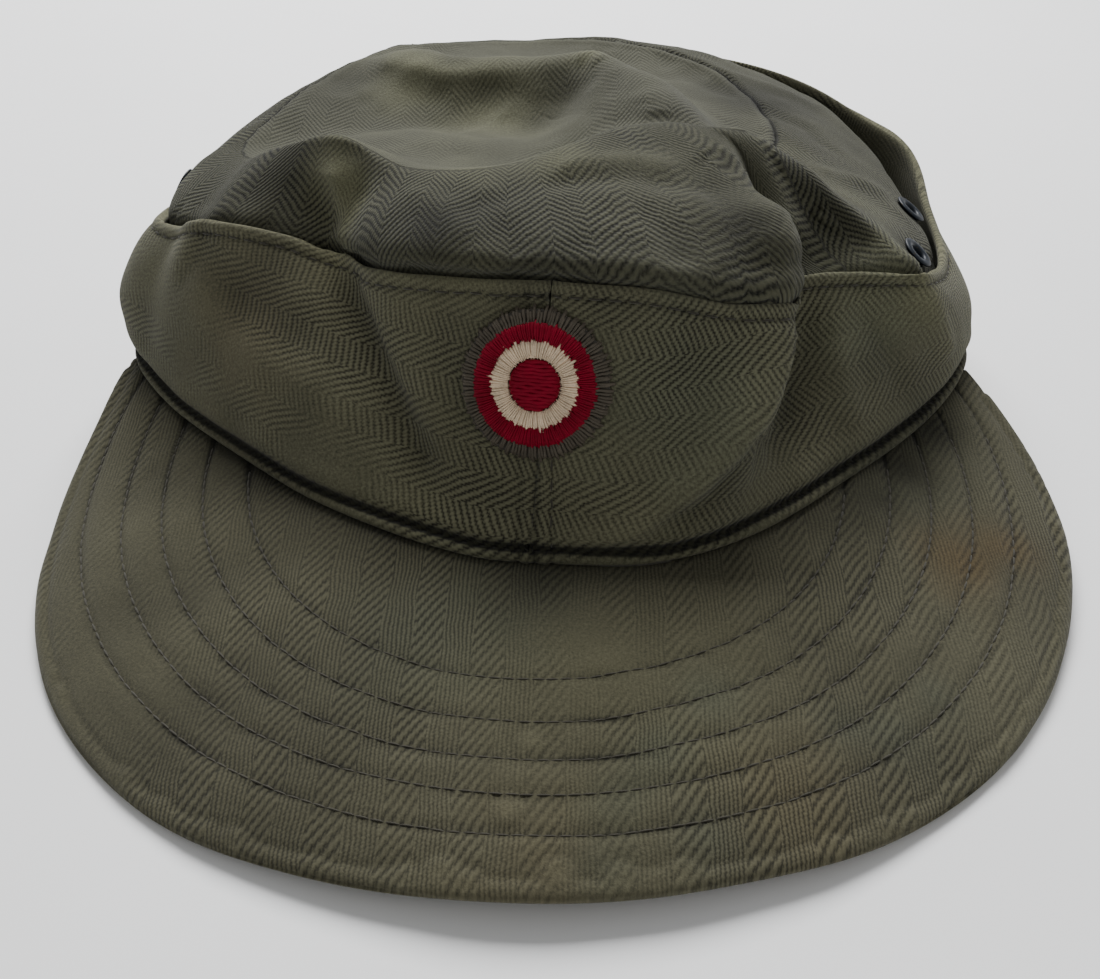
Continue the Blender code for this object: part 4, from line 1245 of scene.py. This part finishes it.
def fan(inner, outer, count, lift, ragged, seed, fill):
    """Satin stitches side by side round a ring, from an inner to an outer radius."""
    chance = np.random.default_rng(seed)
    paths = []
    for number in range(count):
        turn = FULL_TURN * (number + chance.uniform(-0.16, 0.16)) / count
        start = inner + chance.uniform(-0.5, 0.5) * ragged[0]
        end = outer + chance.uniform(-0.5, 0.5) * ragged[1]
        lean = chance.uniform(-0.02, 0.02)
        rise = lift + chance.uniform(-0.04, 0.04)
        path = []
        for share in (0.0, 0.12, 0.36, 0.64, 0.88, 1.0):
            narrow, flat, dive = TIP if share in (0.0, 1.0) else (1.0, 1.0, 0.0)
            radius, here = start + share * (end - start), turn + lean * share
            path.append((on_cockade(radius * math.cos(here), radius * math.sin(here), rise - dive),
                         fill * FULL_TURN * radius / count * narrow, SATIN_HEIGHT * flat))
        paths.append(path)
    return paths


def level_rows(reach, spacing, lift, seed):
    """Level rows of stitches across the cockade's middle, a little wavy."""
    chance = np.random.default_rng(seed)
    paths = []
    for y in np.arange(-reach + 0.5 * spacing, reach, spacing):
        half = math.sqrt(max(reach ** 2 - y ** 2, 0.3))
        wave, phase = chance.uniform(0.05, 0.13), chance.uniform(0, FULL_TURN)
        path = []
        for share in np.linspace(-1, 1, 13):
            x = half * share
            twist = 0.5 + 0.5 * math.cos(2.2 * x + phase)
            path.append((on_cockade(x, y + wave * math.sin(1.6 * x + phase), lift + 0.10 * twist),
                         0.62 * spacing * (0.6 if abs(share) > 0.95 else 1.0), ROW_HEIGHT))
        paths.append(path)
    return paths


# %% Embroidery thread
def embroidery_thread(name, tint, roughness):
    """Smooth thread that catches the light: fine strands along it, darker between them."""
    material, tree, shader = new_material(name, roughness, Specular_IOR_Level=0.14)
    place = add(tree, "TexCoord", out="Object")
    fleck = add(tree, "TexNoise", {"Vector": place, "Scale": 1500.0, "Detail": 3.0})
    patch = add(tree, "TexNoise", {"Vector": place, "Scale": 300.0, "Detail": 2.0})
    mixed = add(tree, "Math MULTIPLY_ADD", {0: fleck, 1: 0.7, 2: patch})
    mixed = add(tree, "Math SUBTRACT", {0: mixed, 1: 0.25}, use_clamp=True)
    tone = add(tree, "Mix", {0: mixed, 6: linear(tint, 0.42), 7: linear(tint)}, out=2, data_type="RGBA")
    coat(tree, shader, tone, fleck, 0.6, 0.06)
    return material


RED_THREAD = embroidery_thread("rayon_thread_red", "#8E0027", 0.60)
WHITE_THREAD = embroidery_thread("rayon_thread_white", "#F6DFC1", 0.60)
BORDER_THREAD = embroidery_thread("rayon_thread_grey", "#5F584D", 0.55)
# The backing is dark felt, made darker so that the gaps between the cockade's stitches show painted shade
BACKING_FELT = cotton_thread("cotton_felt_dark", "#39352E", 0.9)

SATIN = (
    # name, then inner and outer radius, stitches, lift, raggedness, seed and fill of the fan, and thread
    ("border", RED_REACH - 0.5, BORDER_REACH, 130, 0.12, (0.2, 1.1), 21, 0.48, BORDER_THREAD),
    ("red", WHITE_REACH - 0.8, RED_REACH + 0.2, 150, 0.10, (0.3, 0.8), 22, 0.5, RED_THREAD),
    ("white", CENTRE_REACH - 0.25, WHITE_REACH + 0.15, 100, 0.24, (0.7, 1.2), 23, 0.5, WHITE_THREAD),
)
for name, *ring, thread in SATIN:
    tubes(f"cockade_{name}_stitches", fan(*ring), thread, name + "_thread")
tubes("cockade_centre_stitches", level_rows(CENTRE_REACH - 0.15, 0.72, 0.06, 24), RED_THREAD, "red_thread")

for node, thread in (("cockade_backing", BACKING_FELT), ("cockade_outer_ring", RED_THREAD),
                     ("cockade_middle_ring", WHITE_THREAD), ("cockade_centre", RED_THREAD)):
    base = frame["nodes"][node].data
    base.materials.clear()
    base.materials.append(thread)

# %% [markdown]
# ## Eyelets
#
# Each air eyelet is a stamped metal ring with a dark blue-black paint that is chipped
# round its edge. One is pressed from a torus: its upper half becomes the domed flange,
# and the lower inner faces are drawn down into the barrel.

# %% Painted eyelets
FLANGE_MIDDLE, FLANGE_HALF, FLANGE_RISE = 3.2, 1.1, 0.42  # mm
BARREL, BARREL_REACH = 1.7, 2.9  # length of the barrel, and radius of what goes into it


def eyelet_mesh(name):
    """Turned eyelet round the Z axis with its flange on the cloth at height 0."""
    deselect()
    bpy.ops.mesh.primitive_torus_add(major_segments=40, minor_segments=12, major_radius=FLANGE_MIDDLE * MM,
                                     minor_radius=FLANGE_HALF * MM)
    piece = bpy.context.object
    piece.name = name
    with edit_mode():
        bpy.ops.transform.resize(value=(1, 1, FLANGE_RISE / FLANGE_HALF))
        bpy.ops.mesh.select_all(action="DESELECT")
    for vertex in piece.data.vertices:
        vertex.select = vertex.co.z < -0.2 * MM and vertex.co.xy.length < BARREL_REACH * MM
    with edit_mode():
        bpy.ops.transform.translate(value=(0, 0, -BARREL * MM))
    bpy.ops.object.shade_smooth()
    return piece


def chipped_paint():
    """Dark enamel on brass: smooth, with dull metal where the paint has chipped."""
    material, tree, shader = new_material("enamel_on_brass", 0.5, Specular_IOR_Level=0.35)
    place = add(tree, "TexCoord", out="Object")
    chips = add(tree, "TexNoise", {"Vector": place, "Scale": 700.0, "Detail": 5.0})
    bare = add(tree, "MapRange", {0: chips, 1: 0.60, 2: 0.68})
    tone = add(tree, "Mix", {0: bare, 6: linear("#101923"), 7: linear("#4A463D")}, out=2, data_type="RGBA")
    tree.links.new(bare, shader.inputs["Metallic"])
    coat(tree, shader, tone, chips, 0.3, 0.1)
    return material


enamel = chipped_paint()
for name, (middle, axis) in eyelet_axes.items():
    piece = eyelet_mesh(name + "_ring")
    face = ((points_of(frame["nodes"][name])[0] - middle) @ axis).max() - FLANGE_RISE
    piece.rotation_euler = Vector(axis).to_track_quat("Z", "Y").to_euler()
    piece.location = Vector((middle + axis * face) * MM)
    bpy.ops.object.transform_apply(location=True, rotation=True, scale=True)
    piece.data.materials.append(enamel)
    stands_for(piece, name, slot="eyelet_paint")
print("eyelets:", len(eyelet_axes))
